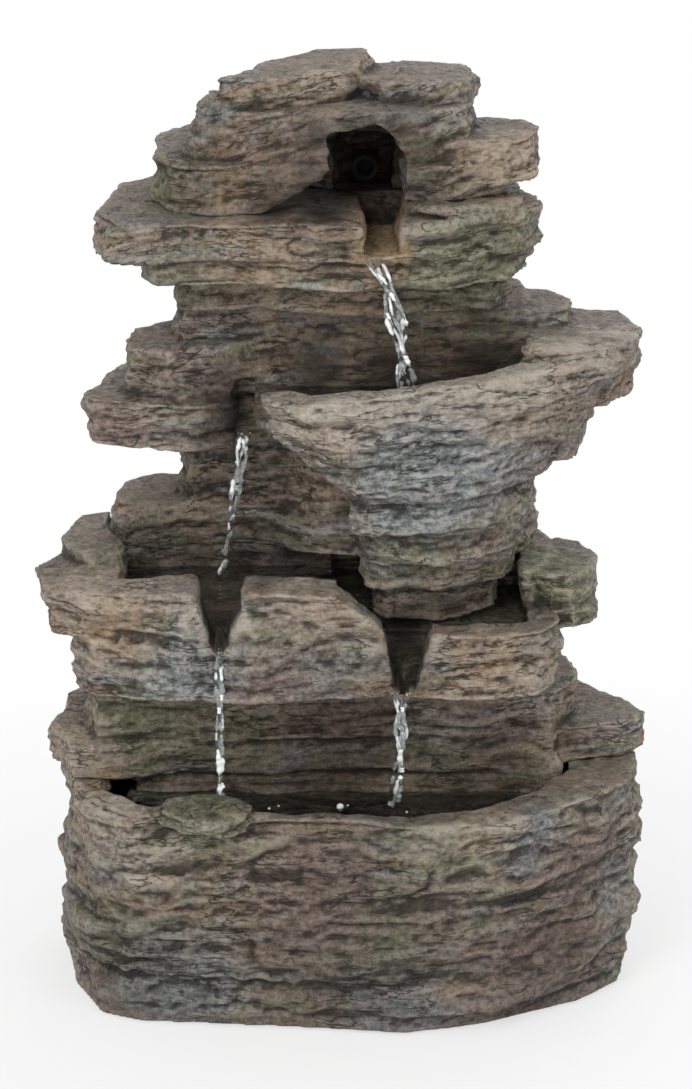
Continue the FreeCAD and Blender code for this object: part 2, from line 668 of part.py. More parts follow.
extrude(middle, "Pocket", "core_hollow", core_hollow, dim["core_height"] - dim["core_roof"], backwards=True)
chimney(middle, core_top, dim["core_roof"] * 2)

# Upper tier: neck, shelf and spout slab with the pouring channel.
upper = new_body("upper_tier")
slab(upper, "neck", BLOCK, core_top, neck_top)
slab(upper, "shelf", SPOUT, neck_top, shelf_top, slight)
slab(upper, "spout", SPOUT, shelf_top, spout_top, slight)
slab(upper, "spout_right", PEBBLE, spout_top, right_top, -slight)
channel_floor = spout_top - dim["channel_depth"]
channel_x = dim["channel_x"]
cut_back(upper, "channel", [(channel_x - dim["channel_half"], channel_floor),
                            (channel_x + dim["channel_half"], channel_floor),
                            (channel_x + dim["channel_mouth"], right_top),
                            (channel_x - dim["channel_mouth"], right_top)],
         -(dim["spout_front"] * 2), dim["spout_front"] * 2 + dim["nozzle_end"] * 0.5)
chimney(upper, right_top, right_top - core_top)

# Cap: stacked slabs over the cave and the passage of the elbow.
cap = new_body("cap_rock")
slab(cap, "cap_base", CAP_BASE, spout_top, cap_mid)
slab(cap, "cap_right", CAP, right_top, cap_mid)
slab(cap, "cap_mid", CAP, cap_mid, cap_top, -steep)
ledge_low = spout_top + dim["cap_ledge_base"]
slab(cap, "cap_ledge", PEBBLE, ledge_low, ledge_low + dim["cap_ledge_thickness"])
slab(cap, "cap_top", CREST, cap_top, summit)
slab(cap, "cap_side", PEBBLE, cap_top, cap_top + dim["cap_side_height"])
cave_front = -(dim["cap_base_front"] + dim["spout_front"])
cave_width = dim["cave_left"] + dim["cave_right"]
cut_back(cap, "cave", [(cave_width * u - dim["cave_left"], spout_top + dim["cave_height"] * v) for u, v in CAVE],
         cave_front, dim["cave_depth"] - cave_front - dim["cap_base_front"])
conduit = new_sketch(cap, "conduit_outline", "XY_Plane", spout_top)
half_conduit = dim["conduit_half_width"]
draw_rectangle(conduit, dim["tube_x"] - half_conduit, dim["tube_x"] + half_conduit,
               dim["nozzle_end"] - half_conduit, dim["conduit_back"])
extrude(cap, "Pocket", "conduit", conduit, dim["conduit_height"], backwards=True)

# Feet.
feet = []
for i, (x, y) in enumerate(foot_corners, 1):
    foot = doc.addObject("Part::Cylinder", f"foot_{i}")
    foot.setExpression("Radius", dim["foot_radius"].text)
    foot.setExpression("Height", dim["foot_height"].text)
    foot.setExpression("Placement.Base.x", x.text)
    foot.setExpression("Placement.Base.y", y.text)
    feet.append(foot)
foot_pads = doc.addObject("Part::Compound", "foot_pads")
foot_pads.Links = feet
exported.append(foot_pads)

# Pump. Its pieces share one origin: on the rotor axis, under the riser tube.
half_height = dim["pump_height"] * 0.5
half_width = dim["pump_width"] * 0.5
pump_level = floor + dim["cup_height"] + half_height
pump_place = (dim["tube_x"], dim["tube_y"], pump_level)
front_face = dim["volute_depth"] * 0.5
rear_face = front_face - dim["pump_length"]
volute_floor = -front_face
yoke_back = rear_face + dim["end_cap_lip"] * 2
yoke_front = yoke_back + dim["core_yoke"]
coil_front = yoke_front + dim["coil_build"]
island_end = coil_front + dim["motor_room"]
well_end = island_end + dim["well_wall"]
inner_half_width = half_width - dim["pump_wall"]
inner_half_height = half_height - dim["pump_wall"]


def box_outline(body, name, offset, half_y, half_z):
    drawing = new_sketch(body, name, "YZ_Plane", offset)
    draw_rectangle(drawing, -half_y, half_y, -half_z, half_z)
    return drawing


def disc_outline(body, name, offset, *radii):
    drawing = new_sketch(body, name, "YZ_Plane", offset)
    for radius in radii:
        draw_circle(drawing, 0, 0, radius)
    return drawing


def round_corners(body, name, radius):
    """Round the four long edges of a block that lies along X."""
    doc.recompute()
    block = body.Tip
    edges = []
    for i, edge in enumerate(block.Shape.Edges, 1):
        start, end = (vertex.Point for vertex in edge.Vertexes)
        if abs(abs(end.x - start.x) - edge.Length) < 1e-6:
            edges.append(f"Edge{i}")
    feature = body.newObject("PartDesign::Fillet", name)
    feature.Base = (block, edges)
    feature.setExpression("Radius", as_size(radius).text)


def repeat_around(body, name, feature, count):
    """Copies of a feature spaced evenly around the rotor axis."""
    doc.recompute()
    pattern = body.newObject("PartDesign::PolarPattern", name)
    pattern.Originals = [feature]
    pattern.Axis = (origin_feature(body, "X_Axis"), [""])
    pattern.Angle = 360
    pattern.Occurrences = count
    body.Tip = pattern


housing = new_body("pump_housing", pump_place)
extrude(housing, "Pad", "case", box_outline(housing, "case_outline", rear_face, half_width, half_height),
        dim["pump_length"])
round_corners(housing, "case_corners", dim["pump_corner"])
extrude(housing, "Pocket", "volute",
        disc_outline(housing, "volute_outline", front_face, dim["volute_radius"]), dim["volute_depth"])
extrude(housing, "Pocket", "rotor_well",
        disc_outline(housing, "well_outline", volute_floor, dim["well_radius"]), volute_floor - well_end)
extrude(housing, "Pocket", "motor_space",
        box_outline(housing, "motor_space_outline", rear_face, inner_half_width, inner_half_height),
        island_end - rear_face, backwards=True)
jacket = box_outline(housing, "jacket_outline", island_end, inner_half_width, inner_half_height)
draw_circle(jacket, 0, 0, dim["well_radius"] + dim["well_wall"])
extrude(housing, "Pocket", "jacket", jacket, volute_floor - dim["volute_back"] - island_end, backwards=True)
spigot_radius = dim["tube_bore"] - dim["seat_clearance"]
spigot = new_sketch(housing, "spigot_outline", "XY_Plane", half_height - dim["pump_wall"] * 0.5)
draw_circle(spigot, 0, 0, spigot_radius)
extrude(housing, "Pad", "spigot", spigot, dim["spigot_height"] + dim["pump_wall"] * 0.5)
spigot_bore = new_sketch(housing, "spigot_bore_outline", "XY_Plane", half_height + dim["spigot_height"])
draw_circle(spigot_bore, 0, 0, dim["elbow_bore"])
extrude(housing, "Pocket", "spigot_bore", spigot_bore,
        dim["spigot_height"] + half_height - dim["volute_radius"] + dim["pump_wall"])

end_cap = new_body("motor_end_cap", pump_place)
cap_thickness = dim["end_cap_thickness"]
extrude(end_cap, "Pad", "cover",
        box_outline(end_cap, "cover_outline", rear_face - cap_thickness, half_width, half_height), cap_thickness)
round_corners(end_cap, "cover_corners", dim["pump_corner"])
fit_y = inner_half_width - dim["seat_clearance"]
fit_z = inner_half_height - dim["seat_clearance"]
cap_lip = box_outline(end_cap, "cap_lip_outline", rear_face, fit_y, fit_z)
draw_rectangle(cap_lip, dim["pump_wall"] - fit_y, fit_y - dim["pump_wall"],
               dim["pump_wall"] - fit_z, fit_z - dim["pump_wall"])
extrude(end_cap, "Pad", "cap_lip", cap_lip, dim["end_cap_lip"])

stator = new_body("stator_core", pump_place)
leg_inner = dim["well_radius"] + dim["well_wall"] + dim["core_gap"]
leg_outer = leg_inner + dim["core_leg"]
leg_front = volute_floor - dim["volute_back"] * 2
core_outline = new_sketch(stator, "core_outline", "XY_Plane", dim["core_stack"] * -0.5)
draw_polygon(core_outline, [(yoke_back, -leg_outer), (leg_front, -leg_outer), (leg_front, -leg_inner),
                            (yoke_front, -leg_inner), (yoke_front, leg_inner), (leg_front, leg_inner),
                            (leg_front, leg_outer), (yoke_back, leg_outer)])
extrude(stator, "Pad", "laminations", core_outline, dim["core_stack"])

coil = new_body("stator_coil", pump_place)
coil_gap = dim["core_gap"]
coil_inner = dim["core_stack"] * 0.5 + coil_gap
coil_outer = coil_inner + dim["coil_build"]
coil_end = leg_inner - coil_gap
coil_outline = new_sketch(coil, "coil_outline", "XZ_Plane", -coil_end)
draw_rectangle(coil_outline, yoke_back - dim["end_cap_lip"] + coil_gap, coil_front,
               -coil_outer, coil_outer)
draw_rectangle(coil_outline, yoke_back - coil_gap, yoke_front + coil_gap, -coil_inner, coil_inner)
extrude(coil, "Pad", "winding", coil_outline, coil_end * 2)

rear_bush = new_body("rear_bush", pump_place)
bush_bore = dim["shaft_radius"] + dim["seat_clearance"] * 0.2
extrude(rear_bush, "Pad", "bush", disc_outline(rear_bush, "bush_outline", well_end, dim["bush_radius"], bush_bore),
        dim["bush_length"])

rotor = new_body("rotor_magnet", pump_place)
rotor_bore = dim["shaft_radius"] + dim["running_clearance"]
rotor_back = well_end + dim["bush_length"] + dim["end_play"]
rotor_front = volute_floor - dim["end_play"]
extrude(rotor, "Pad", "magnet",
        disc_outline(rotor, "magnet_outline", rotor_back, dim["well_radius"] - dim["rotor_gap"], rotor_bore),
        rotor_front - rotor_back)

impeller = new_body("impeller", pump_place)
shroud_back = volute_floor + dim["shroud_gap"]
shroud_front = shroud_back + dim["shroud_thickness"]
vane_front = shroud_front + dim["vane_height"]
extrude(impeller, "Pad", "hub", disc_outline(impeller, "hub_outline", rotor_front, dim["hub_radius"]),
        vane_front - rotor_front)
extrude(impeller, "Pad", "shroud", disc_outline(impeller, "shroud_outline", shroud_back, dim["shroud_radius"]),
        dim["shroud_thickness"])
vane_outline = new_sketch(impeller, "vane_outline", "YZ_Plane", shroud_back)
half_vane = dim["vane_thickness"] * 0.5
draw_rectangle(vane_outline, -half_vane, half_vane, dim["hub_radius"] * 0.5, dim["shroud_radius"] - half_vane)
vane = extrude(impeller, "Pad", "vane", vane_outline, vane_front - shroud_back)
repeat_around(impeller, "vanes", vane, 6)
extrude(impeller, "Pocket", "impeller_bore",
        disc_outline(impeller, "impeller_bore_outline", vane_front, rotor_bore), vane_front - rotor_front)

shaft = new_body("pump_shaft", pump_place)
shaft_back = well_end + dim["end_play"]
shaft_front = front_face - dim["end_play"]
extrude(shaft, "Pad", "rod", disc_outline(shaft, "rod_outline", shaft_back, dim["shaft_radius"]),
        shaft_front - shaft_back)

volute_cover = new_body("volute_cover", pump_place)
bush_seat = dim["front_bush_radius"] + dim["seat_clearance"]
extrude(volute_cover, "Pad", "inlet_plate",
        disc_outline(volute_cover, "inlet_plate_outline", front_face - dim["volute_cover_thickness"],
                     dim["volute_radius"] - dim["seat_clearance"] * 2, bush_seat),
        dim["volute_cover_thickness"])
inlet_outline = new_sketch(volute_cover, "inlet_outline", "YZ_Plane", front_face)
draw_facets(inlet_outline, 0, dim["inlet_circle"], dim["inlet_radius"], 8)
inlet = extrude(volute_cover, "Pocket", "inlet", inlet_outline, dim["volute_cover_thickness"])
repeat_around(volute_cover, "inlets", inlet, 6)

front_bush = new_body("front_bush", pump_place)
front_bush_back = vane_front + dim["end_play"]
extrude(front_bush, "Pad", "front_seat",
        disc_outline(front_bush, "front_seat_outline", front_bush_back, dim["front_bush_radius"], bush_bore),
        front_face - front_bush_back)

intake = new_body("intake_cover", pump_place)
intake_back = front_face + dim["seam"]
intake_front = intake_back + dim["intake_length"]
wall = dim["intake_wall"]
extrude(intake, "Pad", "hood", box_outline(intake, "hood_outline", intake_back, half_width, half_height),
        dim["intake_length"])
round_corners(intake, "hood_corners", dim["pump_corner"])
extrude(intake, "Pocket", "hood_space",
        box_outline(intake, "hood_space_outline", intake_back, half_width - wall, half_height - wall),
        dim["intake_length"] - wall, backwards=True)
dial_hole = dim["dial_stem"] + dim["seat_clearance"]
extrude(intake, "Pocket", "dial_hole", disc_outline(intake, "dial_hole_outline", intake_front, dial_hole), wall)


def window_outline(body, name, offset):
    drawing = new_sketch(body, name, "YZ_Plane", offset)
    half = dim["window_width"] * 0.5
    draw_rectangle(drawing, -half, half, dim["window_inner"], dim["window_outer"])
    return drawing


grille = extrude(intake, "Pocket", "intake_window", window_outline(intake, "intake_window_outline", intake_front),
                 wall)
repeat_around(intake, "intake_windows", grille, 8)

dial = new_body("flow_dial", pump_place)
shutter_front = intake_front - wall - dim["seam"]
shutter_back = shutter_front - dim["shutter_thickness"]
knob_back = intake_front + dim["seam"]
extrude(dial, "Pad", "shutter", disc_outline(dial, "shutter_outline", shutter_back, dim["shutter_radius"]),
        dim["shutter_thickness"])
extrude(dial, "Pad", "stem", disc_outline(dial, "stem_outline", shutter_back, dim["dial_stem"]),
        knob_back - shutter_back)
extrude(dial, "Pad", "knob", disc_outline(dial, "knob_outline", knob_back, dim["dial_radius"]),
        dim["dial_thickness"])
tab_outline = box_outline(dial, "tab_outline", knob_back, dim["dial_tab"] * 0.5, dim["dial_radius"] * 0.8)
extrude(dial, "Pad", "tab", tab_outline, dim["dial_thickness"] + dim["dial_tab"])
shutter_window = extrude(dial, "Pocket", "shutter_window",
                         window_outline(dial, "shutter_window_outline", shutter_front), dim["shutter_thickness"])
repeat_around(dial, "shutter_windows", shutter_window, 8)

cups = []
cup_rear = rear_face + dim["cup_spread"]
cup_front = front_face - dim["cup_spread"]
for i, (along, side) in enumerate(((cup_rear, -1), (cup_front, -1), (cup_front, 1), (cup_rear, 1)), 1):
    cup = new_body(f"cup_{i}", (dim["tube_x"] + along, dim["tube_y"] + dim["cup_spread"] * side, floor))
    exported.remove(cup)
    for kind, name, radius, height in (("Pad", "skirt", dim["cup_radius"], dim["cup_skirt"]),
                                       ("Pad", "shoulder", dim["cup_shoulder"], dim["cup_skirt"] * 2),
                                       ("Pad", "neck", dim["cup_neck"], dim["cup_height"]),
                                       ("Pocket", "hollow", dim["cup_radius"] - dim["cup_wall"], dim["cup_hollow"])):
        outline = new_sketch(cup, f"cup_{name}_outline_{i}", "XY_Plane", 0)
        draw_facets(outline, 0, 0, radius, 12)
        extrude(cup, kind, f"cup_{name}_{i}", outline, height, backwards=kind == "Pocket")
    cups.append(cup)
suction_cups = doc.addObject("Part::Compound", "suction_cups")
suction_cups.Links = cups
exported.append(suction_cups)

# Riser tube and the elbow that turns the flow out of the cave.
bend_level = spout_top - dim["elbow_sink"]
tube_low = pump_level + half_height + dim["seam"]
tube_high = bend_level - dim["elbow_sink"]
tube = new_body("riser_tube")
tube_ring = new_sketch(tube, "tube_outline", "XY_Plane", tube_low)
draw_circle(tube_ring, dim["tube_x"], dim["tube_y"], tube_radius)
draw_circle(tube_ring, dim["tube_x"], dim["tube_y"], dim["tube_bore"])
extrude(tube, "Pad", "hose", tube_ring, tube_high - tube_low)

elbow = new_body("spout_elbow")
nozzle_level = bend_level + dim["elbow_bend"]
for kind, name, radius, sides in (("Pad", "skin", spigot_radius, 24), ("Pocket", "bore", dim["elbow_bore"], 12)):
    barb = new_sketch(elbow, f"barb_{name}_outline", "XY_Plane", tube_high - dim["elbow_barb"])
    draw_facets(barb, dim["tube_x"], dim["tube_y"], radius, sides)
    extrude(elbow, kind, f"barb_{name}", barb, nozzle_level + radius - tube_high + dim["elbow_barb"],
            backwards=kind == "Pocket")
    nozzle = new_sketch(elbow, f"nozzle_{name}_outline", "XZ_Plane", -dim["nozzle_end"])
    draw_facets(nozzle, dim["tube_x"], nozzle_level, radius, sides)
    extrude(elbow, kind, f"nozzle_{name}", nozzle, dim["tube_y"] + radius - dim["nozzle_end"],
            backwards=kind == "Pad")
heel = new_sketch(elbow, "heel_outline", "YZ_Plane", dim["tube_x"] - spigot_radius)
heel_y = dim["tube_y"] + spigot_radius
heel_z = nozzle_level + spigot_radius
draw_polygon(heel, [(heel_y, nozzle_level), (heel_y, heel_z), (dim["tube_y"], heel_z)])
extrude(elbow, "Pocket", "heel", heel, spigot_radius * 2, backwards=True)

doc.recompute()
for thing in doc.Objects:
    if "Invalid" in thing.State or "Error" in thing.State:
        raise RuntimeError(f"{thing.Label} failed to build")
os.makedirs("parts", exist_ok=True)
for piece in exported:
    if piece.Shape.isNull() or not piece.Shape.isValid():
        raise RuntimeError(f"{piece.Label} has no valid shape")
    piece.Shape.exportStep(f"parts/{piece.Label}.step")
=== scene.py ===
import math

import bpy
import numpy as np
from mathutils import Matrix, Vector
from mathutils.bvhtree import BVHTree


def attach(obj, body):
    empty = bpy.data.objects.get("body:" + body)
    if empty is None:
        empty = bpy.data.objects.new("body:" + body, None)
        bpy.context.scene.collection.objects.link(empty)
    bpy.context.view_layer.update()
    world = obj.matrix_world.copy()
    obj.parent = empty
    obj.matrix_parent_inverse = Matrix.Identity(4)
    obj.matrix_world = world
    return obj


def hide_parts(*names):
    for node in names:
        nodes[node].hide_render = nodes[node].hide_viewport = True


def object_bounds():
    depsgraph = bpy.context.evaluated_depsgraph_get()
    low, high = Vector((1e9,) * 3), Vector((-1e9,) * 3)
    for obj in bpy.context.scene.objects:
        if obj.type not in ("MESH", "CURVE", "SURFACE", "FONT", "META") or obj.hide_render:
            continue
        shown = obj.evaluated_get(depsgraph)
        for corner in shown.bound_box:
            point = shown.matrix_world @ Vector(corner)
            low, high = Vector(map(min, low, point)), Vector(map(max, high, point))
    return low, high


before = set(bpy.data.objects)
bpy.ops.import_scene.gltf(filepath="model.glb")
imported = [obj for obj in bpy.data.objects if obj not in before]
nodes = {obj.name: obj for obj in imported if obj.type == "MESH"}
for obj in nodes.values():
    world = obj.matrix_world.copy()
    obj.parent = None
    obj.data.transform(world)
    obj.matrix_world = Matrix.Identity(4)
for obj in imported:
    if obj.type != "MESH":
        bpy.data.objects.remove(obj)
cad_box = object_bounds()
scene = bpy.context.scene
scene.view_settings.view_transform = "Standard"
MM = 0.001
LOW, HIGH = (np.array(corner) / MM for corner in cad_box)

# Camera: distance and target in millimetres, tilt down, focal length and sensor width in millimetres.
DISTANCE, TILT, TARGET = 1560, math.radians(18), (0, -14, 197)
LENS, SENSOR = 120.96, 36

# Floor: half its width, and where its own glow starts and is full, in metres. Then the glow at its start.
FLOOR_REACH, GLOW_NEAR, GLOW_FAR, GLOW_LEAST = 6, 0.12, 0.42, 0.62
WHITE_LIGHT, PAPER = (1, 1, 1, 1), (0.86, 0.86, 0.86, 1)

# Light: strength of the surroundings, and the point that the lamps face. For every lamp its name, its place
# and size in metres, and its power in watts.
AMBIENT = 0.58
LAMP_AIM = (0, 0, 0.2)
LAMPS = (
    ("key", (-0.9, -1.7, 1.6), 0.9, 23),
    ("fill", (1.3, -1.3, 0.9), 1.0, 9),
    ("front", (0.2, -2.3, 0.4), 1.6, 10),
    ("back", (0.5, 1.4, 1.2), 1.2, 9),
)

camera = bpy.data.objects.new("camera", bpy.data.cameras.new("camera"))
camera.data.lens = LENS
camera.data.sensor_width = SENSOR
camera.data.clip_end = 20
camera.location = Vector((TARGET[0], TARGET[1] - DISTANCE * math.cos(TILT),
                          TARGET[2] + DISTANCE * math.sin(TILT))) * MM
camera.rotation_euler = (math.pi / 2 - TILT, 0, 0)
scene.collection.objects.link(camera)
scene.camera = camera


class Graph:
    """Short calls for building a node tree."""

    def __init__(self, tree):
        self.tree = tree
        tree.nodes.clear()

    def add(self, kind, inputs=(), **settings):
        node = self.tree.nodes.new(kind)
        for name, value in settings.items():
            setattr(node, name, value)
        for name, value in dict(inputs).items():
            self.put(node, name, value)
        return node

    def put(self, node, name, value):
        socket = node.inputs[name]
        if isinstance(value, bpy.types.NodeSocket):
            self.tree.links.new(value, socket)
        else:
            socket.default_value = value

    def math(self, operation, a, b=0.0, c=0.0):
        return self.add("ShaderNodeMath", {0: a, 1: b, 2: c}, operation=operation).outputs[0]

    def mix(self, factor, a, b, blend="MIX"):
        node = self.add("ShaderNodeMix", data_type="RGBA", blend_type=blend)
        self.put(node, "Factor", factor)
        self.put(node, 6, a)
        self.put(node, 7, b)
        return node.outputs[2]

    def cover(self, colour, where, share, shade):
        """A colour with a share of another one laid over it."""
        return self.mix(self.math("MULTIPLY", where, share), colour, shade)

    def noise(self, vector, scale, detail=3.0, roughness=0.55):
        node = self.add("ShaderNodeTexNoise", {"Vector": vector, "Scale": scale, "Detail": detail,
                                               "Roughness": roughness})
        return node.outputs[0]

    def warped(self, vector, amount):
        """Coordinates pushed about by a noise."""
        push = self.add("ShaderNodeTexNoise", {"Vector": vector, "Scale": 0.9, "Detail": 2.0})
        node = self.add("ShaderNodeVectorMath", {0: push.outputs["Color"], 1: (amount,) * 3, 2: vector},
                        operation="MULTIPLY_ADD")
        return node.outputs[0]

    def cells(self, vector):
        """One random value for every flake."""
        return self.add("ShaderNodeTexVoronoi", {"Vector": vector, "Scale": 1.0}).outputs["Color"]

    def lines(self, value, width):
        """Thin wandering lines where a noise passes its middle."""
        away = self.math("ABSOLUTE", self.math("SUBTRACT", value, 0.5))
        return self.step(away, width, 0.0)

    def total(self, *terms):
        """Sum of values, each with its share."""
        result = 0.0
        for value, share in terms:
            result = self.math("MULTIPLY_ADD", value, share, result)
        return result

    def ramp(self, value, stops):
        node = self.add("ShaderNodeValToRGB", {0: value})
        band = node.color_ramp.elements
        while len(band) < len(stops):
            band.new(0.5)
        for element, (place, colour) in zip(band, stops):
            element.position = place
            element.color = colour if len(colour) == 4 else (*colour, 1)
        return node.outputs[0]

    def step(self, value, low, high):
        node = self.add("ShaderNodeMapRange", {0: value, 1: low, 2: high})
        node.clamp = True
        return node.outputs[0]

    def attribute(self, name):
        return self.add("ShaderNodeAttribute", attribute_name=name).outputs["Fac"]


def new_material(name):
    material = bpy.data.materials.new(name)
    material.use_nodes = True
    return material, Graph(material.node_tree)


def white_for_eye(graph):
    """One for rays that see the background itself: from the camera, in gloss and through water."""
    path = graph.add("ShaderNodeLightPath")
    seen = graph.math("MAXIMUM", path.outputs["Is Camera Ray"], path.outputs["Is Glossy Ray"])
    return graph.math("MAXIMUM", seen, path.outputs["Is Transmission Ray"])


def build_world():
    world = bpy.data.worlds.new("studio")
    scene.world = world
    world.use_nodes = True
    g = Graph(world.node_tree)
    strength = g.math("ADD", g.math("MULTIPLY", white_for_eye(g), 1 - AMBIENT), AMBIENT)
    light = g.add("ShaderNodeBackground", {"Color": WHITE_LIGHT, "Strength": strength})
    g.add("ShaderNodeOutputWorld", {"Surface": light.outputs[0]})


def build_floor():
    mesh = bpy.data.meshes.new("floor")
    corners = [(x * FLOOR_REACH, y * FLOOR_REACH, 0) for x, y in ((-1, -1), (1, -1), (1, 1), (-1, 1))]
    mesh.from_pydata(corners, [], [(0, 1, 2, 3)])
    floor = bpy.data.objects.new("floor", mesh)
    scene.collection.objects.link(floor)
    material, g = new_material("pale_floor")
    mesh.materials.append(material)
    place = g.add("ShaderNodeTexCoord").outputs["Object"]
    length = g.add("ShaderNodeVectorMath", {0: place}, operation="LENGTH").outputs["Value"]
    far = g.add("ShaderNodeMapRange", {0: length, 1: GLOW_NEAR, 2: GLOW_FAR, 3: GLOW_LEAST, 4: 1.0})
    paper = g.add("ShaderNodeBsdfDiffuse", {"Color": PAPER})
    white = g.add("ShaderNodeEmission", {"Color": WHITE_LIGHT, "Strength": 1.0})
    glow = g.math("MULTIPLY", far.outputs[0], white_for_eye(g))
    surface = g.add("ShaderNodeMixShader", {0: glow, 1: paper.outputs[0], 2: white.outputs[0]})
    g.add("ShaderNodeOutputMaterial", {"Surface": surface.outputs[0]})


def build_lamps():
    for name, place, size, power in LAMPS:
        light = bpy.data.lights.new(name, "AREA")
        light.size = size
        light.energy = power
        lamp = bpy.data.objects.new(name, light)
        lamp.location = place
        lamp.rotation_euler = (Vector(place) - Vector(LAMP_AIM)).to_track_quat("Z", "Y").to_euler()
        scene.collection.objects.link(lamp)


build_world()
build_floor()
build_lamps()


# Noise on points in millimetres.
def lattice(cell, seed):
    """A settled random value from -1 to 1 for every whole-number cell."""
    x, y, z = (cell[:, i].astype(np.int64).astype(np.uint64) for i in range(3))
    mask = np.uint64(0xFFFFFFFF)
    h = (x * np.uint64(374761393) + y * np.uint64(668265263) + z * np.uint64(1440670441)
         + np.uint64(seed * 1274126177)) & mask
    for shift, factor in ((13, 1274126177), (15, 2246822519), (16, 3266489917)):
        h = ((h ^ (h >> np.uint64(shift))) * np.uint64(factor)) & mask
    return (h ^ (h >> np.uint64(16))) / 2147483648.0 - 1.0


def noise(points, scale, seed):
    p = points / np.asarray(scale, float)
    cell = np.floor(p)
    f = p - cell
    f = f * f * f * (f * (f * 6 - 15) + 10)
    total = np.zeros(len(points))
    for corner in range(8):
        step = np.array([corner & 1, corner >> 1 & 1, corner >> 2 & 1])
        weight = np.prod(np.where(step, f, 1 - f), axis=1)
        total += weight * lattice(cell + step, seed)
    return total


def fractal(points, scale, seed, octaves=3, gain=0.5):
    scale = np.asarray(scale, float)
    return sum(gain ** i * noise(points, scale / 2 ** i, seed + i) for i in range(octaves))


def ease(value, low, high):
    t = np.clip((value - low) / (high - low), 0, 1)
    return t * t * (3 - 2 * t)


def patches(points, spots):
    """Soft patches, each with a centre, a radius and a strength."""
    weight = np.zeros(len(points))
    for x, y, z, radius, strength in spots:
        away = ((points - (x, y, z)) ** 2).sum(1) / radius ** 2
        weight = np.maximum(weight, strength * np.exp(-away))
    return weight


def boxed(points, low, high, fade):
    """One inside a box, falling to nothing within the fade distance outside it."""
    gap = np.maximum(np.maximum(np.array(low) - points, points - np.array(high)), 0)
    return 1 - ease(np.sqrt((gap ** 2).sum(1)), 0, fade)


# Boxes whose rock stays calm: low corner, high corner, fade distance and the share of the relief kept.
CALM = (
    ((-54, 64, 92), (54, 92, 159), 8, 0.0),  # door
    ((-70, -10, 4), (66, 76, 155), 4, 0.08),  # pump chamber
    ((-60, 14, 186), (64, 68, 290), 4, 0.1),  # hollow core
    ((-4, 26, 150), (20, 50, 352), 3, 0.08),  # tube passage
    ((-62, -70, 161), (-44, -27, 200), 5, 0.4),  # left notch
    ((8, -70, 144), (37, -37, 172), 5, 0.4),  # right notch
    ((3, -62, 329), (25, 12, 352), 4, 0.4),  # spout channel
    ((-140, -90, -5), (140, 90, 2), 6, 0.15),  # foot of the basin
)


def calm(points):
    share = np.ones(len(points))
    for low, high, fade, kept in CALM:
        share = np.minimum(share, 1 - (1 - kept) * boxed(points, low, high, fade))
    return share


def wander(points):
    """One field that moves all castings alike, so that their seams stay shut."""
    moves = [2.8 * noise(points, 52, 11 + i) + 1.8 * noise(points, 21, 21 + i) for i in range(3)]
    moves[2] = moves[2] * 0.55
    return np.column_stack(moves) * calm(points)[:, None]


# Meshes as arrays.
def read_points(mesh, what="co"):
    values = np.zeros(len(mesh.vertices) * 3, np.float32)
    mesh.vertices.foreach_get(what, values)
    return values.reshape(-1, 3).astype(float) / (MM if what == "co" else 1)


def write_points(mesh, points):
    mesh.vertices.foreach_set("co", (points * MM).astype(np.float32).ravel())
    mesh.update()


def read_edges(mesh):
    values = np.zeros(len(mesh.edges) * 2, np.int32)
    mesh.edges.foreach_get("vertices", values)
    return values.reshape(-1, 2)


def relax(points, edges, rounds, factor=0.5):
    a, b = edges.T
    count = np.bincount(np.concatenate((a, b)), minlength=len(points))[:, None]
    for _ in range(rounds):
        total = np.column_stack([np.bincount(a, points[b, i], len(points))
                                 + np.bincount(b, points[a, i], len(points)) for i in range(3)])
        points = points + (total / count - points) * factor
    return points


def write_layer(mesh, name, values):
    layer = mesh.attributes.new(name, "FLOAT", "POINT")
    layer.data.foreach_set("value", np.asarray(values, np.float32))


def remeshed(obj, voxel):
    """The object's mesh as an even skin of small faces."""
    modifier = obj.modifiers.new("skin", "REMESH")
    modifier.mode = "VOXEL"
    modifier.voxel_size = voxel * MM
    bpy.context.view_layer.update()
    mesh = bpy.data.meshes.new_from_object(obj.evaluated_get(bpy.context.evaluated_depsgraph_get()))
    obj.modifiers.clear()
    obj.data = mesh
    mesh.materials.clear()
    return mesh


def terrace(value, steps):
    """Flat treads with short risers, as where flakes have split away."""
    scaled = value * steps
    base = np.floor(scaled)
    return (base + ease(scaled - base, 0.6, 1.0)) / steps


def cracks(points, scale, seed, width):
    """Thin wandering lines."""
    return np.exp(-(noise(points, scale, seed) / width) ** 2)


# Patches of colour, wet, painted shade and painted light on the rock: x, y and z of the centre, radius and
# strength.
MOSS = (
    # Basin.
    (-96, -58, 40, 26, 0.7), (0, -90, 40, 90, 0.32), (12, -86, 42, 28, 0.8), (46, -80, 84, 24, 0.8),
    (96, -60, 86, 30, 0.5), (-60, -70, 97, 26, 0.9),
    # Plinth.
    (36, -22, 104, 20, 0.8), (-45, -20, 112, 22, 0.9), (20, -24, 118, 40, 0.5), (60, 70, 120, 60, 0.4),
    (-84, -22, 128, 40, 0.7),
    # Third tier.
    (88, -14, 188, 28, 0.8),
    # Second tier.
    (-70, 70, 200, 50, 0.4), (-84, -20, 205, 30, 0.8), (28, -50, 214, 30, 0.7),
    (-92, -34, 272, 34, 0.45), (-20, 60, 300, 50, 0.4),
    # First tier and cap.
    (-64, -40, 312, 34, 0.6), (52, -34, 318, 42, 0.9), (58, -44, 338, 24, 0.7),
    (-72, -22, 358, 26, 0.6),
)
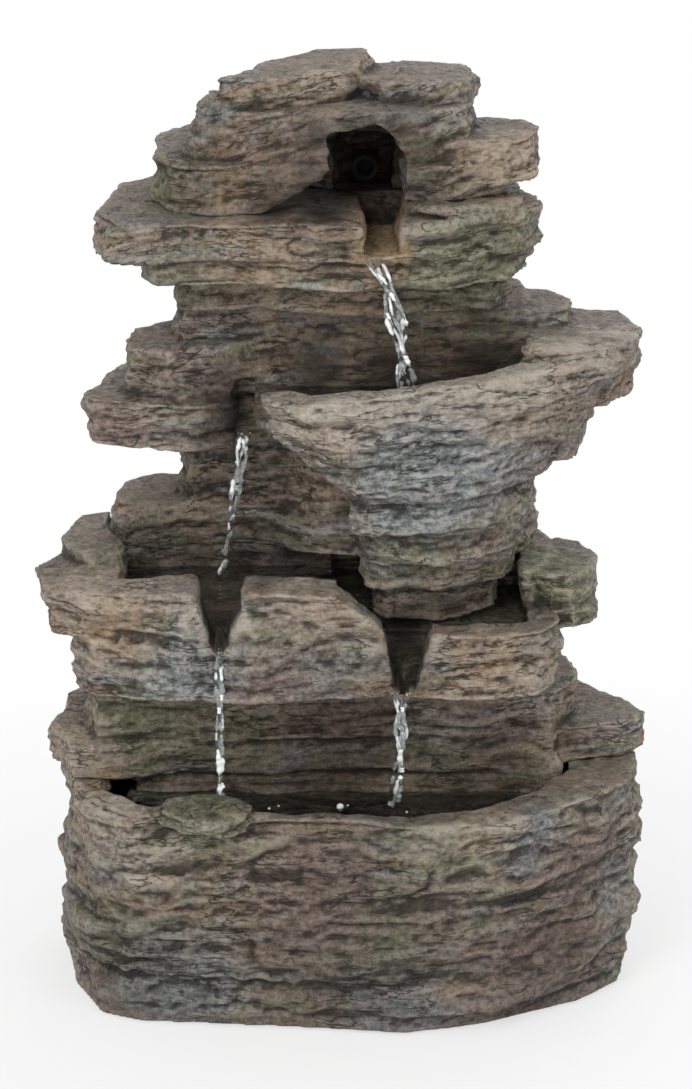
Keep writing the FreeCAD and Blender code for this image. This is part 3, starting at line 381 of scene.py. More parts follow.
BLUE = (
    # Basin.
    (20, -86, 12, 30, 0.6), (-70, -74, 20, 32, 0.8), (112, -40, 48, 22, 0.6), (40, 70, 60, 60, 0.4),
    (-96, -60, 78, 26, 0.5), (82, -68, 82, 18, 0.9),
    # Plinth.
    (34, -28, 124, 34, 0.5),
    # Third tier.
    (-62, -60, 152, 32, 0.8), (-14, -58, 156, 30, 0.6),
    # Second tier.
    (34, -62, 246, 38, 1.0), (62, -54, 250, 30, 0.7), (80, 40, 250, 40, 0.4),
)
# Sand-coloured stains; the broad ones on the plinth and at the neck also lighten zones in shade: painted
# light.
TAN_AND_PAINTED_LIGHT = (
    # Basin.
    (-90, 50, 40, 40, 0.5), (-8, -84, 82, 12, 0.8), (-20, -82, 88, 30, 0.6), (-108, -50, 92, 28, 0.9),
    (60, -78, 92, 24, 0.6),
    # Plinth.
    (-118, -16, 104, 20, 0.9), (-30, -30, 130, 50, 0.47), (40, -30, 130, 50, 0.47),
    # Third tier.
    (64, -50, 150, 24, 0.8), (62, -60, 160, 24, 0.5), (50, -44, 166, 20, 0.8),
    (-104, -48, 178, 30, 0.8), (-12, -60, 182, 24, 0.8),
    # Second tier.
    (-60, -10, 215, 40, 0.47), (-40, -20, 222, 18, 0.6), (-92, -38, 262, 26, 0.5),
    (-12, -64, 268, 26, 0.7), (76, -56, 278, 34, 0.7), (-30, -30, 300, 24, 0.6),
    # First tier and cap.
    (0, -20, 305, 50, 0.45), (0, 80, 330, 40, 0.5), (-34, -52, 334, 36, 0.6), (70, -24, 366, 26, 0.9),
    (-6, -20, 394, 26, 0.7),
)
# Painted shade: spots made dark where shade falls, in the pools, notches and cave, under ledges and at the
# foot of the basin.
PAINTED_SHADE_SPOTS = (
    # Basin.
    (0, -88, 12, 60, 0.5), (-84, -70, 14, 50, 0.45), (84, -66, 18, 50, 0.5), (-50, -34, 84, 30, 0.75),
    (0, -34, 84, 42, 0.75), (60, -30, 84, 30, 0.75),
    # Third tier.
    (24, -54, 152, 8, 0.9), (-14, -60, 158, 26, 0.2), (24, -46, 158, 13, 1.15),
    (24, -34, 164, 16, 1.15), (-53, -51, 168, 7, 1.0), (-53, -42, 172, 12, 1.15),
    (-53, -28, 176, 15, 1.15), (40, -26, 178, 26, 0.7), (-85, -2, 183, 13, 0.9), (-65, 2, 183, 13, 0.9),
    (-45, 4, 183, 13, 0.9), (-25, 4, 184, 13, 0.9), (-84, -6, 190, 18, 0.7),
    # Second tier.
    (-48, -24, 258, 17, 1.15), (-42, -28, 266, 13, 1.15), (20, -14, 273, 24, 1.0),
    (-10, -10, 274, 20, 1.0), (58, -14, 274, 24, 1.0),
    # First tier and cap.
    (-50, -52, 336, 30, 0.16), (-32, -44, 345, 9, 0.8), (-19, -44, 345, 9, 1.0), (-6, -44, 345, 9, 1.1),
    (-28, -34, 346, 13, 1.0), (-10, -34, 348, 15, 1.1), (-18, -37, 352, 14, 0.8),
    (12, 30, 352, 26, 1.15), (10, 8, 356, 22, 1.15), (30, -33, 356, 13, 0.7), (2, -14, 360, 20, 1.15),
    (-60, -34, 362, 30, 0.34), (34, -30, 362, 20, 0.3), (-22, -36, 364, 24, 0.5),
    (-14, -38, 364, 14, 0.8), (29, -31, 370, 13, 0.75), (-11, -32, 377, 13, 0.8),
    (21, -29, 380, 12, 0.75), (6, -30, 383, 12, 0.75),
)
PLUM = (
    # Basin.
    (84, -66, 22, 36, 0.9), (40, -84, 58, 22, 0.6), (-14, -84, 62, 32, 0.9), (100, -54, 66, 28, 0.8),
    # Plinth.
    (64, -16, 118, 20, 0.7), (0, -22, 124, 26, 0.9), (-30, -60, 136, 36, 0.6),
    # Second tier.
    (56, -30, 226, 26, 0.4), (-96, -36, 258, 22, 0.7), (-70, -30, 282, 20, 0.6),
    # First tier and cap.
    (-30, -40, 372, 30, 0.6),
)
PALE = (
    # Basin.
    (-84, -66, 69, 13, 0.9), (-72, -70, 80, 9, 0.7), (30, -84, 84, 9, 0.6), (-100, -54, 89, 11, 0.9),
    (-22, -83, 93, 11, 0.7), (8, -85, 93, 11, 0.7), (38, -83, 94, 11, 0.7), (-96, -58, 96, 10, 0.9),
    (68, -76, 96, 11, 0.7), (-110, -40, 97, 11, 0.9), (98, -58, 98, 11, 0.7),
    # Third tier.
    (32, -60, 155, 5, 1.0), (17, -60, 156, 5, 1.0), (36, -58, 164, 7, 1.0), (13, -58, 166, 7, 1.0),
    (-60, -60, 170, 5, 1.0), (-47, -60, 170, 5, 1.0), (60, -40, 172, 20, 0.4), (-63, -58, 178, 7, 1.0),
    (-44, -58, 178, 7, 1.0), (6, -54, 178, 8, 0.9), (-100, -44, 188, 18, 0.6), (-80, -46, 190, 18, 0.6),
    (-16, -46, 190, 18, 0.6),
    # Second tier.
    (-66, -30, 217, 7, 0.7), (-88, -26, 218, 7, 0.8), (-77, -28, 218, 7, 0.8), (-28, -58, 274, 17, 0.9),
    (-8, -70, 277, 17, 1.0), (18, -74, 279, 17, 1.0), (44, -72, 282, 18, 1.0), (70, -60, 285, 18, 0.9),
    (96, -40, 289, 18, 0.8), (112, -14, 292, 18, 0.8), (-46, -28, 294, 14, 0.6),
)
# Channel floor: its real ochre, painted brighter deep under the cap as painted light where the cap shades
# it.
LIT_OCHRE_SPOTS = (
    # First tier and cap.
    (14, -34, 332, 11, 1.0), (14, -20, 333, 12, 1.2), (14, -4, 333, 12, 1.2),
)
OCHRE = (
    # Basin.
    (-60, -66, 60, 40, 0.32), (-100, -34, 88, 15, 0.8),
    # Third tier.
    (24, -57, 149, 7, 0.6), (60, -56, 160, 20, 0.38), (-53, -54, 166, 7, 0.6),
    (-96, -48, 176, 20, 0.45),
    # Second tier.
    (40, -8, 286, 30, 0.4), (-30, -12, 290, 26, 0.4),
    # First tier and cap.
    (0, -30, 308, 40, 0.38), (14, -46, 332, 14, 1.0), (-34, -54, 334, 34, 0.42),
    (14, -26, 334, 15, 1.2), (14, -6, 336, 15, 1.2), (8, -40, 342, 10, 0.8), (-40, -40, 366, 30, 0.38),
)
WET = (
    # Basin.
    (0, -66, 88, 50, 0.5), (0, -22, 90, 60, 0.6),
    # Third tier.
    (24, -54, 152, 9, 0.5), (-53, -52, 167, 9, 0.5), (-50, 4, 190, 26, 0.7),
    # Second tier.
    (-42, -24, 258, 16, 0.9), (30, -18, 270, 36, 0.7),
    # First tier and cap.
    (14, -40, 333, 16, 0.4),
)

# Colours on the rock: worn ridges, flecks and dust on flat tops; a dark wash with painted shade in crevices
# and seams; painted shade on undersides and in shaded hollows.
RIDGE, FLECK = (0.440, 0.375, 0.305, 1), (0.520, 0.470, 0.410, 1)
DUST_DARK, DUST_PALE = (0.120, 0.102, 0.086, 1), (0.250, 0.215, 0.185, 1)
CREVICE_WASH_AND_SHADE, SEAM_WASH_AND_SHADE = (0.024, 0.020, 0.016, 1), (0.024, 0.019, 0.015, 1)
SHADE, PAINTED_DEEP_SHADE = (0.050, 0.040, 0.033, 1), (0.016, 0.010, 0.006, 1)
WET_TINT = (0.45, 0.42, 0.38, 1)
BUMP_DEPTH = 0.0020


def rock_material(name):
    material, g = new_material(name)
    place = g.add("ShaderNodeTexCoord").outputs["Object"]
    part = g.add("ShaderNodeSeparateXYZ", {0: place})
    flow = g.math("MULTIPLY", g.attribute("flow"), MM)

    def bedded(length, height):
        """Coordinates stretched along the beds: a unit is so many millimetres long and high."""
        return g.add("ShaderNodeCombineXYZ", {0: g.math("MULTIPLY", part.outputs[0], 1000 / length),
                                              1: g.math("MULTIPLY", part.outputs[1], 1000 / length),
                                              2: g.math("MULTIPLY", flow, 1000 / height)}).outputs[0]

    hollow = g.attribute("hollow")
    fibre = g.noise(bedded(5.0, 1.6), 1.0, 6.0, 0.7)
    plates = g.cells(g.warped(bedded(19, 5.5), 0.8))
    chips = g.cells(g.warped(bedded(7, 2.2), 0.9))
    mottle = g.noise(place, 420.0, 5.0, 0.72)
    grain = g.noise(place, 1300.0, 2.0, 0.6)
    seams = g.math("MULTIPLY", g.lines(g.noise(bedded(24, 5), 1.0, 3.0, 0.6), 0.022),
                   g.step(g.noise(place, 45.0, 2.0, 0.5), 0.42, 0.58))
    # Hollows and seams lower the tone: a dark wash together with painted shade.
    tone = g.total((fibre, 0.42), (mottle, 0.48), (chips, 0.08), (plates, 0.05), (hollow, -0.12),
                   (seams, -0.10))
    tone = g.math("ADD", tone, 0.06)

    def palette(dark, middle, pale):
        return g.ramp(tone, [(0.27, tuple(c * 0.45 for c in dark)), (0.385, dark), (0.50, middle),
                             (0.625, pale), (0.75, tuple(c * 1.5 for c in pale))])

    brown = palette((0.099, 0.065, 0.045), (0.233, 0.166, 0.116), (0.392, 0.300, 0.222))
    mauve = palette((0.090, 0.074, 0.067), (0.202, 0.170, 0.155), (0.358, 0.319, 0.286))
    olive = palette((0.065, 0.067, 0.036), (0.157, 0.160, 0.096), (0.302, 0.305, 0.207))
    slate = palette((0.046, 0.050, 0.052), (0.172, 0.187, 0.190), (0.430, 0.455, 0.455))
    plum = palette((0.078, 0.052, 0.045), (0.185, 0.129, 0.112), (0.325, 0.241, 0.213))
    sand = palette((0.168, 0.121, 0.085), (0.370, 0.282, 0.207), (0.582, 0.476, 0.370))
    chalk = palette((0.202, 0.174, 0.140), (0.392, 0.347, 0.291), (0.605, 0.549, 0.470))
    rust = palette((0.179, 0.110, 0.052), (0.370, 0.246, 0.134), (0.515, 0.381, 0.241))
    # A brighter ochre: painted light for the shaded channel floor.
    lit_ochre = palette((0.314, 0.207, 0.106), (0.582, 0.420, 0.252), (0.739, 0.571, 0.381))
    zone = g.noise(bedded(64, 13), 1.0, 4.0, 0.65)
    colour = g.mix(g.step(zone, 0.44, 0.56), brown, mauve)
    # Streaks along the beds: colour, length and height in mm, where one starts and is full, and its share.
    for shade, length, height, low, high, share in ((olive, 46, 9, 0.49, 0.60, 0.85),
                                                    (slate, 36, 6.5, 0.53, 0.64, 0.75),
                                                    (sand, 28, 5, 0.56, 0.68, 0.7)):
        streak = g.step(g.noise(bedded(length, height), 1.0, 4.0, 0.65), low, high)
        colour = g.cover(colour, streak, share, shade)
    colour = g.cover(colour, g.attribute("flat"), 0.45, g.mix(mottle, DUST_DARK, DUST_PALE))
    # The patches, with ragged edges.
    edge = g.noise(place, 110.0, 5.0, 0.68)
    for layer, shade, share in (("moss", olive, 0.9), ("blue", slate, 0.9), ("tan", sand, 0.75),
                                ("plum", plum, 0.85), ("pale", chalk, 0.8), ("ochre", rust, 0.95),
                                ("lit_ochre", lit_ochre, 0.95)):
        weight = g.math("ADD", g.attribute(layer), g.math("MULTIPLY", edge, 1.2))
        colour = g.cover(colour, g.step(weight, 0.84, 1.24), share, shade)
    # Wear, flecks, a dark wash with painted shade, and wet.
    ridge = g.math("MULTIPLY", g.step(hollow, 0.42, 0.12), g.step(mottle, 0.42, 0.58))
    colour = g.cover(colour, ridge, 0.5, RIDGE)
    flecks = g.math("MULTIPLY", g.step(grain, 0.60, 0.70), g.step(mottle, 0.46, 0.60))
    colour = g.cover(colour, flecks, 0.6, FLECK)
    # Crevices: a dark wash together with painted shade in the hollows.
    crevice_wash_and_shade = g.step(hollow, 0.66, 0.98)
    colour = g.cover(colour, crevice_wash_and_shade, 0.75, CREVICE_WASH_AND_SHADE)
    # Seams: dark lines of wash together with painted shade in the cracks.
    colour = g.cover(colour, seams, 0.7, SEAM_WASH_AND_SHADE)
    # Painted shade on the undersides.
    colour = g.cover(colour, g.attribute("under"), 0.45, SHADE)
    # Painted shade: near-black laid over the spots where shade falls.
    colour = g.cover(colour, g.attribute("dark"), 0.92, PAINTED_DEEP_SHADE)
    wet = g.attribute("wet")
    colour = g.mix(g.math("MULTIPLY", wet, 0.55), colour, WET_TINT, "MULTIPLY")
    relief = g.total((fibre, 0.9), (mottle, 0.95), (grain, 0.2), (chips, 0.20), (plates, 0.18),
                     (seams, -0.5))
    bump = g.add("ShaderNodeBump", {"Height": relief, "Strength": 1.0, "Distance": BUMP_DEPTH})
    gloss = g.add("ShaderNodeMapRange", {0: mottle, 1: 0.35, 2: 0.68, 3: 0.86, 4: 0.50}).outputs[0]
    gloss = g.math("MULTIPLY", gloss, g.math("SUBTRACT", 1.0, g.math("MULTIPLY", wet, 0.5)))
    shader = g.add("ShaderNodeBsdfPrincipled", {"Base Color": colour, "Roughness": gloss,
                                                "Normal": bump.outputs[0], "Specular IOR Level": 0.4})
    g.add("ShaderNodeOutputMaterial", {"Surface": shader.outputs[0]})
    return material


stone = rock_material("weathered_rock")

# Depth in millimetres of every kind of relief on the castings.
SLABS, FLAKES, FIBRES, SPLITS, LUMPS, GRAIN = 2.0, 0.8, 0.7, 1.6, 1.8, 0.5
LAYERS = {"moss": MOSS, "blue": BLUE, "tan": TAN_AND_PAINTED_LIGHT, "dark": PAINTED_SHADE_SPOTS, "pale": PALE, "plum": PLUM,
          "ochre": OCHRE, "lit_ochre": LIT_OCHRE_SPOTS, "wet": WET}
skins = {}


def rock(name, node, body, seed, voxel, tilt=0.0, bed=9.0, rough=1.0, stretch=1.0, rounds=2):
    """A casting as weathered, bedded rock: the CAD solid, re-skinned, worn round and cut by beds."""
    piece = bpy.data.objects.new(name, nodes[node].data.copy())
    scene.collection.objects.link(piece)
    mesh = remeshed(piece, voxel)
    edges = read_edges(mesh)
    points = relax(read_points(mesh), edges, rounds)
    points += wander(points)
    write_points(mesh, points)
    normal = read_points(mesh, "normal")
    flow = (points[:, 2] - tilt * points[:, 0] + 4.5 * noise(points, (60, 60, 50), seed)
            + 1.6 * noise(points, (19, 19, 12), seed + 1))
    bedded = np.column_stack((points[:, 0] / stretch, points[:, 1] / stretch, flow))
    upright = 1 - 0.85 * ease(np.abs(normal[:, 2]), 0.55, 0.92)
    slabs = terrace(noise(bedded, (44, 44, bed), seed + 2)
                    + 0.35 * noise(bedded, (13, 13, 5), seed + 3), 3)
    flakes = terrace(noise(bedded, (17, 17, bed * 0.42), seed + 4)
                     + 0.3 * noise(bedded, (6, 6, 3), seed + 5), 3)
    fibres = noise(bedded, (9, 9, bed * 0.19), seed + 6)
    split = (cracks(bedded, (40, 40, bed * 1.1), seed + 7, 0.07)
             * ease(noise(points, 26, seed + 8), -0.1, 0.5))
    lumps = fractal(points, (30, 30, 18), seed + 9)
    grain = fractal(points, (5.5, 5.5, 3.2), seed + 13, 2)
    share = calm(points)
    depth = upright * (SLABS * slabs + FLAKES * flakes + FIBRES * fibres - SPLITS * split)
    depth += LUMPS * lumps * (0.3 + 0.7 * upright) + GRAIN * grain
    points += normal * (depth * rough * share)[:, None]
    points = np.clip(points, LOW + (0.2, 0.2, 0.8), HIGH - 0.2)
    write_points(mesh, points)

    normal = read_points(mesh, "normal")
    near = ((relax(points, edges, 3) - points) * normal).sum(1)
    wide = ((relax(points, edges, 16) - points) * normal).sum(1)
    write_layer(mesh, "flow", flow)
    write_layer(mesh, "hollow", np.clip(near / 0.5 + wide / 1.6, -1, 1) * 0.5 + 0.5)
    write_layer(mesh, "flat", ease(normal[:, 2], 0.62, 0.92))
    write_layer(mesh, "under", ease(-normal[:, 2], 0.25, 0.85))
    for layer, spots in LAYERS.items():
        write_layer(mesh, layer, patches(points, spots))
    mesh.polygons.foreach_set("use_smooth", np.ones(len(mesh.polygons), bool))
    mesh.materials.append(stone)
    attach(piece, body)
    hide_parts(node)
    skins[node] = BVHTree.FromObject(piece, bpy.context.evaluated_depsgraph_get())
    return piece


# Size of the skin's faces in millimetres.
FINE = 1.4
rock("rock_basin", "basin", "fountain", seed=160, voxel=FINE * 1.1, tilt=0.03, bed=13.0,
     rough=1.3, stretch=2.0)
rock("rock_plinth", "plinth", "fountain", seed=200, voxel=FINE, tilt=0.02, stretch=1.4)
rock("rock_lower_tier", "lower_tier", "fountain", seed=300, voxel=FINE)
rock("rock_middle_tier", "middle_tier", "fountain", seed=400, voxel=FINE, tilt=0.02)
rock("rock_upper_tier", "upper_tier", "fountain", seed=500, voxel=FINE, tilt=0.03)
rock("rock_cap", "cap_rock", "fountain", seed=600, voxel=FINE, tilt=0.16, bed=8.0)
rock("rock_door", "access_door", "door", seed=700, voxel=1.2, rounds=1)


def made_material(name, deep, pale, rough, metallic=0.0, lines=None):
    """A moulded or machined material, cloudy and finely grained; lines gives an axis and a pitch in mm."""
    material, g = new_material(name)
    place = g.add("ShaderNodeTexCoord").outputs["Object"]
    cloud = g.noise(place, 90.0, 4.0, 0.6)
    height = g.noise(place, 1400.0, 2.0, 0.6)
    tone = g.math("ADD", g.math("MULTIPLY", cloud, 0.6), g.math("MULTIPLY", height, 0.4))
    colour = g.mix(g.step(tone, 0.36, 0.64), (*deep, 1), (*pale, 1))
    if lines:
        axis, pitch = lines
        scale = math.pi / 10 / (pitch * MM)
        bands = g.add("ShaderNodeTexWave", {"Vector": place, "Scale": scale, "Distortion": 0.4},
                      wave_type="BANDS", bands_direction=axis).outputs["Fac"]
        colour = g.mix(g.step(bands, 0.45, 0.05), colour, tuple(c * 0.35 for c in deep) + (1,))
        height = g.math("ADD", bands, g.math("MULTIPLY", height, 0.3))
    bump = g.add("ShaderNodeBump", {"Height": height, "Strength": 0.5, "Distance": 0.0002})
    gloss = g.add("ShaderNodeMapRange", {0: cloud, 1: 0.3, 2: 0.7, 3: rough * 0.8, 4: rough * 1.25})
    shader = g.add("ShaderNodeBsdfPrincipled", {"Base Color": colour, "Roughness": gloss.outputs[0],
                                                "Metallic": metallic, "Normal": bump.outputs[0]})
    g.add("ShaderNodeOutputMaterial", {"Surface": shader.outputs[0]})
    return material


black_case = made_material("pump_case", (0.016, 0.017, 0.018), (0.034, 0.035, 0.036), 0.42)
outlet_black = made_material("outlet_black", (0.003, 0.003, 0.003), (0.008, 0.007, 0.006), 0.85)
dark_rubber = made_material("dark_rubber", (0.012, 0.012, 0.012), (0.030, 0.029, 0.028), 0.75)
MADE = {
    "foot_pads": dark_rubber,
    "suction_cups": dark_rubber,
    "rear_bush": dark_rubber,
    "front_bush": dark_rubber,
    "pump_housing": black_case,
    "motor_end_cap": black_case,
    "intake_cover": black_case,
    "volute_cover": black_case,
    "spout_elbow": outlet_black,
    "riser_tube": made_material("hose_vinyl", (0.500, 0.530, 0.530), (0.700, 0.740, 0.740), 0.25),
    "flow_dial": made_material("dial_plastic", (0.070, 0.070, 0.078), (0.120, 0.120, 0.132), 0.40),
    "stator_core": made_material("lamination_steel", (0.300, 0.300, 0.310), (0.480, 0.480, 0.480), 0.38,
                                 metallic=1.0, lines=("Z", 0.6)),
    "stator_coil": made_material("copper_winding", (0.520, 0.230, 0.110), (0.780, 0.400, 0.220), 0.32,
                                 metallic=1.0, lines=("X", 0.5)),
    "rotor_magnet": made_material("ferrite", (0.035, 0.034, 0.036), (0.075, 0.073, 0.076), 0.50),
    "impeller": made_material("impeller_plastic", (0.520, 0.530, 0.520), (0.680, 0.690, 0.680), 0.45),
    "pump_shaft": made_material("shaft_steel", (0.560, 0.560, 0.570), (0.740, 0.740, 0.740), 0.22,
                                metallic=1.0),
}
for node, material in MADE.items():
    for slot in nodes[node].material_slots:
        slot.material = material


def water_material(name, clear, shade, pale, gloss):
    """Running or still water; clear is the share of light that passes, shade and pale its own colours."""
    material, g = new_material(name)
    place = g.add("ShaderNodeTexCoord").outputs["Object"]
    swirl = g.noise(place, 240.0, 3.0, 0.6)
    colour = g.mix(g.step(swirl, 0.40, 0.62), (*shade, 1), (*pale, 1))
    wave = g.noise(place, 160.0, 2.0, 0.5)
    bump = g.add("ShaderNodeBump", {"Height": wave, "Strength": 0.35, "Distance": 0.0012})
    rough = g.add("ShaderNodeMapRange", {0: swirl, 3: gloss, 4: gloss * 2}).outputs[0]
    shader = g.add("ShaderNodeBsdfPrincipled", {"Base Color": colour, "Roughness": rough, "IOR": 1.33,
                                                "Normal": bump.outputs[0], "Transmission Weight": clear})
    g.add("ShaderNodeOutputMaterial", {"Surface": shader.outputs[0]})
    return material


pool_water = water_material("pool_water", 1.0, (0.62, 0.68, 0.64), (0.80, 0.84, 0.80), 0.02)
clear_water = water_material("clear_water", 1.0, (0.88, 0.92, 0.92), (0.98, 1.0, 1.0), 0.03)
misty_water = water_material("misty_water", 0.75, (0.70, 0.73, 0.73), (0.88, 0.90, 0.90), 0.06)
# White water: aerated foam, with painted highlights standing in for the glints on the streams.
foam_and_glint_water = water_material("foam_and_glint_water", 0.15, (0.88, 0.90, 0.90), (0.98, 0.99, 0.99), 0.12)


def new_piece(name, points, faces, materials, choice=None):
    """A smooth piece of the water; choice gives the material number of every face."""
    mesh = bpy.data.meshes.new(name)
    mesh.from_pydata((np.asarray(points) * MM).tolist(), [], faces)
    for material in materials:
        mesh.materials.append(material)
    if choice is not None:
        mesh.polygons.foreach_set("material_index", np.asarray(choice, np.int32))
    mesh.polygons.foreach_set("use_smooth", np.ones(len(mesh.polygons), bool))
    mesh.update()
    piece = bpy.data.objects.new(name, mesh)
    scene.collection.objects.link(piece)
    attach(piece, "fountain")
    return piece


def in_rock(x, y, z, castings):
    """Whether a point lies in a casting: the first skin above it is then met from within."""
    for node in castings:
        hit, normal, _, _ = skins[node].ray_cast(Vector((x, y, z)) * MM, Vector((0, 0, 1)))
        if hit is not None and normal.z > 0:
            return True
    return False


def spread_once(wet):
    grown = wet.copy()
    grown[1:] |= wet[:-1]
    grown[:-1] |= wet[1:]
    grown[:, 1:] |= wet[:, :-1]
    grown[:, :-1] |= wet[:, 1:]
    return grown


def still_water(name, level, start, low, high, castings, falls):
    """The surface of a pool: it spreads from a start point to the rock and a little into it."""
    step = 1.5
    xs = np.arange(low[0], high[0], step)
    ys = np.arange(low[1], high[1], step)
    free = np.array([[not in_rock(x, y, level, castings) for y in ys] for x in xs])
    wet = np.zeros(free.shape, bool)
    wet[int((start[0] - low[0]) / step), int((start[1] - low[1]) / step)] = True
    while True:
        grown = spread_once(wet) & free
        if (grown == wet).all():
            break
        wet = grown
    for _ in range(3):
        wet = spread_once(wet) & (wet | ~free)
    x, y = (grid.ravel() for grid in np.meshgrid(xs, ys, indexing="ij"))
    flat = np.column_stack((x, y, np.full(len(x), float(level))))
    height = level + 0.22 * noise(flat, 9, 71) + 0.10 * noise(flat, 4, 72)
    for fall_x, fall_y, size in falls:
        away = np.hypot(x - fall_x, y - fall_y)
        height += size * np.exp(-away / 11) * np.cos(away * 1.15)
    number = np.full(free.shape, -1)
    corners = wet[:-1, :-1] & wet[1:, :-1] & wet[1:, 1:] & wet[:-1, 1:]
    used = np.zeros(free.shape, bool)
    for part in (used[:-1, :-1], used[1:, :-1], used[1:, 1:], used[:-1, 1:]):
        part |= corners
    number[used] = np.arange(used.sum())
    faces = [(int(number[i, j]), int(number[i + 1, j]), int(number[i + 1, j + 1]), int(number[i, j + 1]))
             for i, j in zip(*np.nonzero(corners))]
    keep = used.ravel()
    return new_piece(name, np.column_stack((x, y, height))[keep], faces, [pool_water])


def smooth_path(path, places, rounds):
    """Points along a path, at places from 0 to 1, with the corners of the path worn round."""
    path = np.array(path, float)
    knots = np.linspace(0, 1, len(path))
    middle = np.column_stack([np.interp(places, knots, path[:, i]) for i in range(3)])
    for _ in range(rounds):
        middle[1:-1] = (middle[:-2] + middle[2:] + middle[1:-1] * 2) / 4
    return middle


def chute(name, path, half_width, seed):
    """A thin sheet of water that follows a path down a notch, its edges in the rock."""
    along = np.linspace(0, 1, 40)
    across = np.linspace(-1, 1, 17)
    middle = smooth_path(path, along, 6)
    points = np.array([row + (half_width * u, 0, 0) for row in middle for u in across])
    points[:, 2] += 0.5 * noise(points, (3.5, 14, 14), seed) - 0.8 * (np.tile(across, len(along)) ** 2)
    wide = len(across)
    faces = [(i * wide + j, i * wide + j + 1, (i + 1) * wide + j + 1, (i + 1) * wide + j)
             for i in range(len(along) - 1) for j in range(wide - 1)]
    return new_piece(name, points, faces, [clear_water])


def sweep(centre, radius, sides, points, faces):
    """A closed tube with level rings, added to lists of points and faces."""
    first = len(points)
    turn = np.linspace(0, 2 * math.pi, sides, endpoint=False)
    for row, r in zip(centre, radius):
        points.extend(zip(row[0] + r * np.cos(turn), row[1] + r * np.sin(turn), np.full(sides, row[2])))
    rings = len(centre)
    for i in range(rings - 1):
        for j in range(sides):
            a, b = first + i * sides + j, first + i * sides + (j + 1) % sides
            faces.append((a, a + sides, b + sides, b))
    faces.append(tuple(first + j for j in range(sides)))
    faces.append(tuple(first + (rings - 1) * sides + j for j in reversed(range(sides))))


# Drops along a strand, in millimetres: distance apart, half length and half width, and the white share.
DROP_GAP, DROP_LENGTH, DROP_WIDTH, WHITE_SHARE = (4.0, 9.5), (1.3, 4.6), (0.45, 1.25), 0.55
CLEAR, WHITE, MISTY = 0, 1, 2


def stream(name, path, spread_top, spread_low, strands, seed):
    """A falling stream: clear strands that part and meet, with misty drops and white drops along them; the
    white ones are foam and painted highlights.
    """
    rng = np.random.default_rng(seed)
    t = np.linspace(0, 1, 150)
    middle = smooth_path(path, t, 60)
    fall = middle[0, 2] - middle[-1, 2]
    points, faces, choice = [], [], []
    for strand in range(strands):
        phase = 2 * math.pi * strand / strands + rng.uniform(-0.4, 0.4)
        turns = fall / rng.uniform(75, 120)
        waist = 0.35 + 0.65 * np.abs(np.cos(2.6 * math.pi * t + seed))
        swing = (spread_top + (spread_low - spread_top) * t) * waist
        angle = 2 * math.pi * turns * t + phase
        centre = middle + np.column_stack((swing * np.cos(angle), 0.6 * swing * np.sin(angle), 0 * t))
        centre[:, 0] += 0.45 * noise(centre, 7, seed + strand)
        drops = np.cumsum(rng.uniform(*DROP_GAP, 40)) + 2
        drops = drops[drops < fall - 2]
        radius = 0.68 + 0.26 * noise(centre, 4, seed + 10 + strand) - 0.12 * t
        radius *= np.minimum(1, np.minimum(t, 1 - t) * 30 + 0.15)
        sweep(centre, radius, 8, points, faces)
        choice += [CLEAR] * (len(faces) - len(choice))
        for drop in drops:
            length = rng.uniform(*DROP_LENGTH)
            width = rng.uniform(*DROP_WIDTH)
            kind = WHITE if rng.uniform() < WHITE_SHARE else MISTY
            u = np.linspace(-1, 1, 15)
            place = np.clip((drop + u * length) / fall, 0, 1)
            spine = np.column_stack([np.interp(place, t, centre[:, i]) for i in range(3)])
            spine[:, 2] = np.interp(drop / fall, t, centre[:, 2]) - u * length
            lobe = np.sqrt(np.clip(1 - u * u, 0.003, 1)) * (1 + 0.22 * np.sin(u * 5 + drop))
            sweep(spine, width * (0.9 + 0.3 * drop / fall) * lobe, 9, points, faces)
            choice += [kind] * (len(faces) - len(choice))
    return new_piece(name, points, faces, [clear_water, foam_and_glint_water, misty_water], choice)


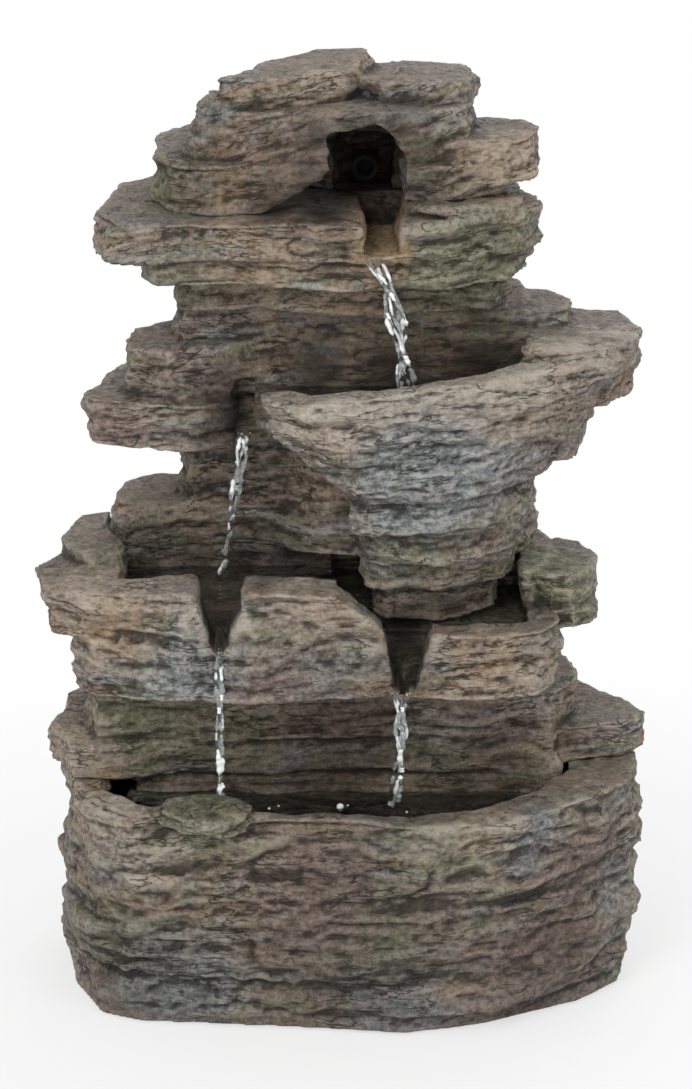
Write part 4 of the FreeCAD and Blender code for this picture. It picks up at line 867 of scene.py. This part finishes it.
# Water levels and the places where the streams land.
BASIN_LEVEL, LEFT_LEVEL, RIGHT_LEVEL, BOWL_LEVEL = 85.5, 180.5, 168.5, 268
FALL_BOWL, FALL_LEFT = (25.5, -46), (-54, -11)
FALL_BASIN_LEFT, FALL_BASIN_RIGHT = (-53, -56), (20, -46)
still_water("water_basin", BASIN_LEVEL, start=(0, -40), low=(-116, -76), high=(112, 80),
            castings=("basin", "plinth"), falls=((*FALL_BASIN_LEFT, 1.0), (*FALL_BASIN_RIGHT, 1.1)))
still_water("water_left_pool", LEFT_LEVEL, start=(-54, -20), low=(-104, -38), high=(12, 16),
            castings=("lower_tier",), falls=((*FALL_LEFT, 1.1),))
still_water("water_right_pool", RIGHT_LEVEL, start=(24, -36), low=(-10, -44), high=(80, 20),
            castings=("lower_tier",), falls=())
still_water("water_bowl", BOWL_LEVEL, start=(20, -40), low=(-38, -68), high=(102, -4),
            castings=("middle_tier",), falls=((*FALL_BOWL, 1.1),))
chute("water_left_notch", ((-53, -46, 171), (-53, -51, 168), (-53, -56, 165.5), (-53, -60, 164)),
      half_width=2.0, seed=82)
chute("water_right_notch", ((24, -48, 153.5), (24, -53, 150), (24, -57, 147.5), (23.5, -60, 146)),
      half_width=2.4, seed=83)
stream("stream_spout", ((10.5, -53.5, 332), (17.5, -53.5, 319), (20.5, -52.5, 306), (22.5, -50, 293),
                        (24.2, -48, 280), (*FALL_BOWL, BOWL_LEVEL)),
       spread_top=3.6, spread_low=3.8, strands=6, seed=91)
stream("stream_bowl", ((-42.5, -31, 252), (-43.5, -29, 240), (-47, -22, 222), (*FALL_LEFT, LEFT_LEVEL)),
       spread_top=3.2, spread_low=1.0, strands=3, seed=92)
stream("stream_left_notch", ((-53, -60, 165), (-53, -59.5, 130), (*FALL_BASIN_LEFT, BASIN_LEVEL)),
       spread_top=1.7, spread_low=1.1, strands=3, seed=93)
stream("stream_right_notch", ((23, -60, 147), (23, -58, 125), (*FALL_BASIN_RIGHT, BASIN_LEVEL)),
       spread_top=2.9, spread_low=2.0, strands=4, seed=94)


def bubbles(name, level, spots):
    """Small white domes that float where a stream lands: foam, and painted glints on the pool."""
    points, faces = [], []
    for x, y, size in spots:
        u = np.linspace(-0.6, 1, 8)
        spine = np.column_stack((np.full(len(u), x), np.full(len(u), y), level + size * u))
        sweep(spine, size * np.sqrt(np.clip(1 - u * u, 0.004, 1)), 12, points, faces)
    return new_piece(name, points, faces, [foam_and_glint_water])


bubbles("bubbles_basin", BASIN_LEVEL,
        ((-2.5, -36, 1.6), (0.8, -34.5, 0.5), (-33, -38, 0.6), (-29, -35, 0.45),
         (-46, -50, 0.7), (-60, -52, 0.6), (14, -50, 0.7), (26, -42, 0.6)))
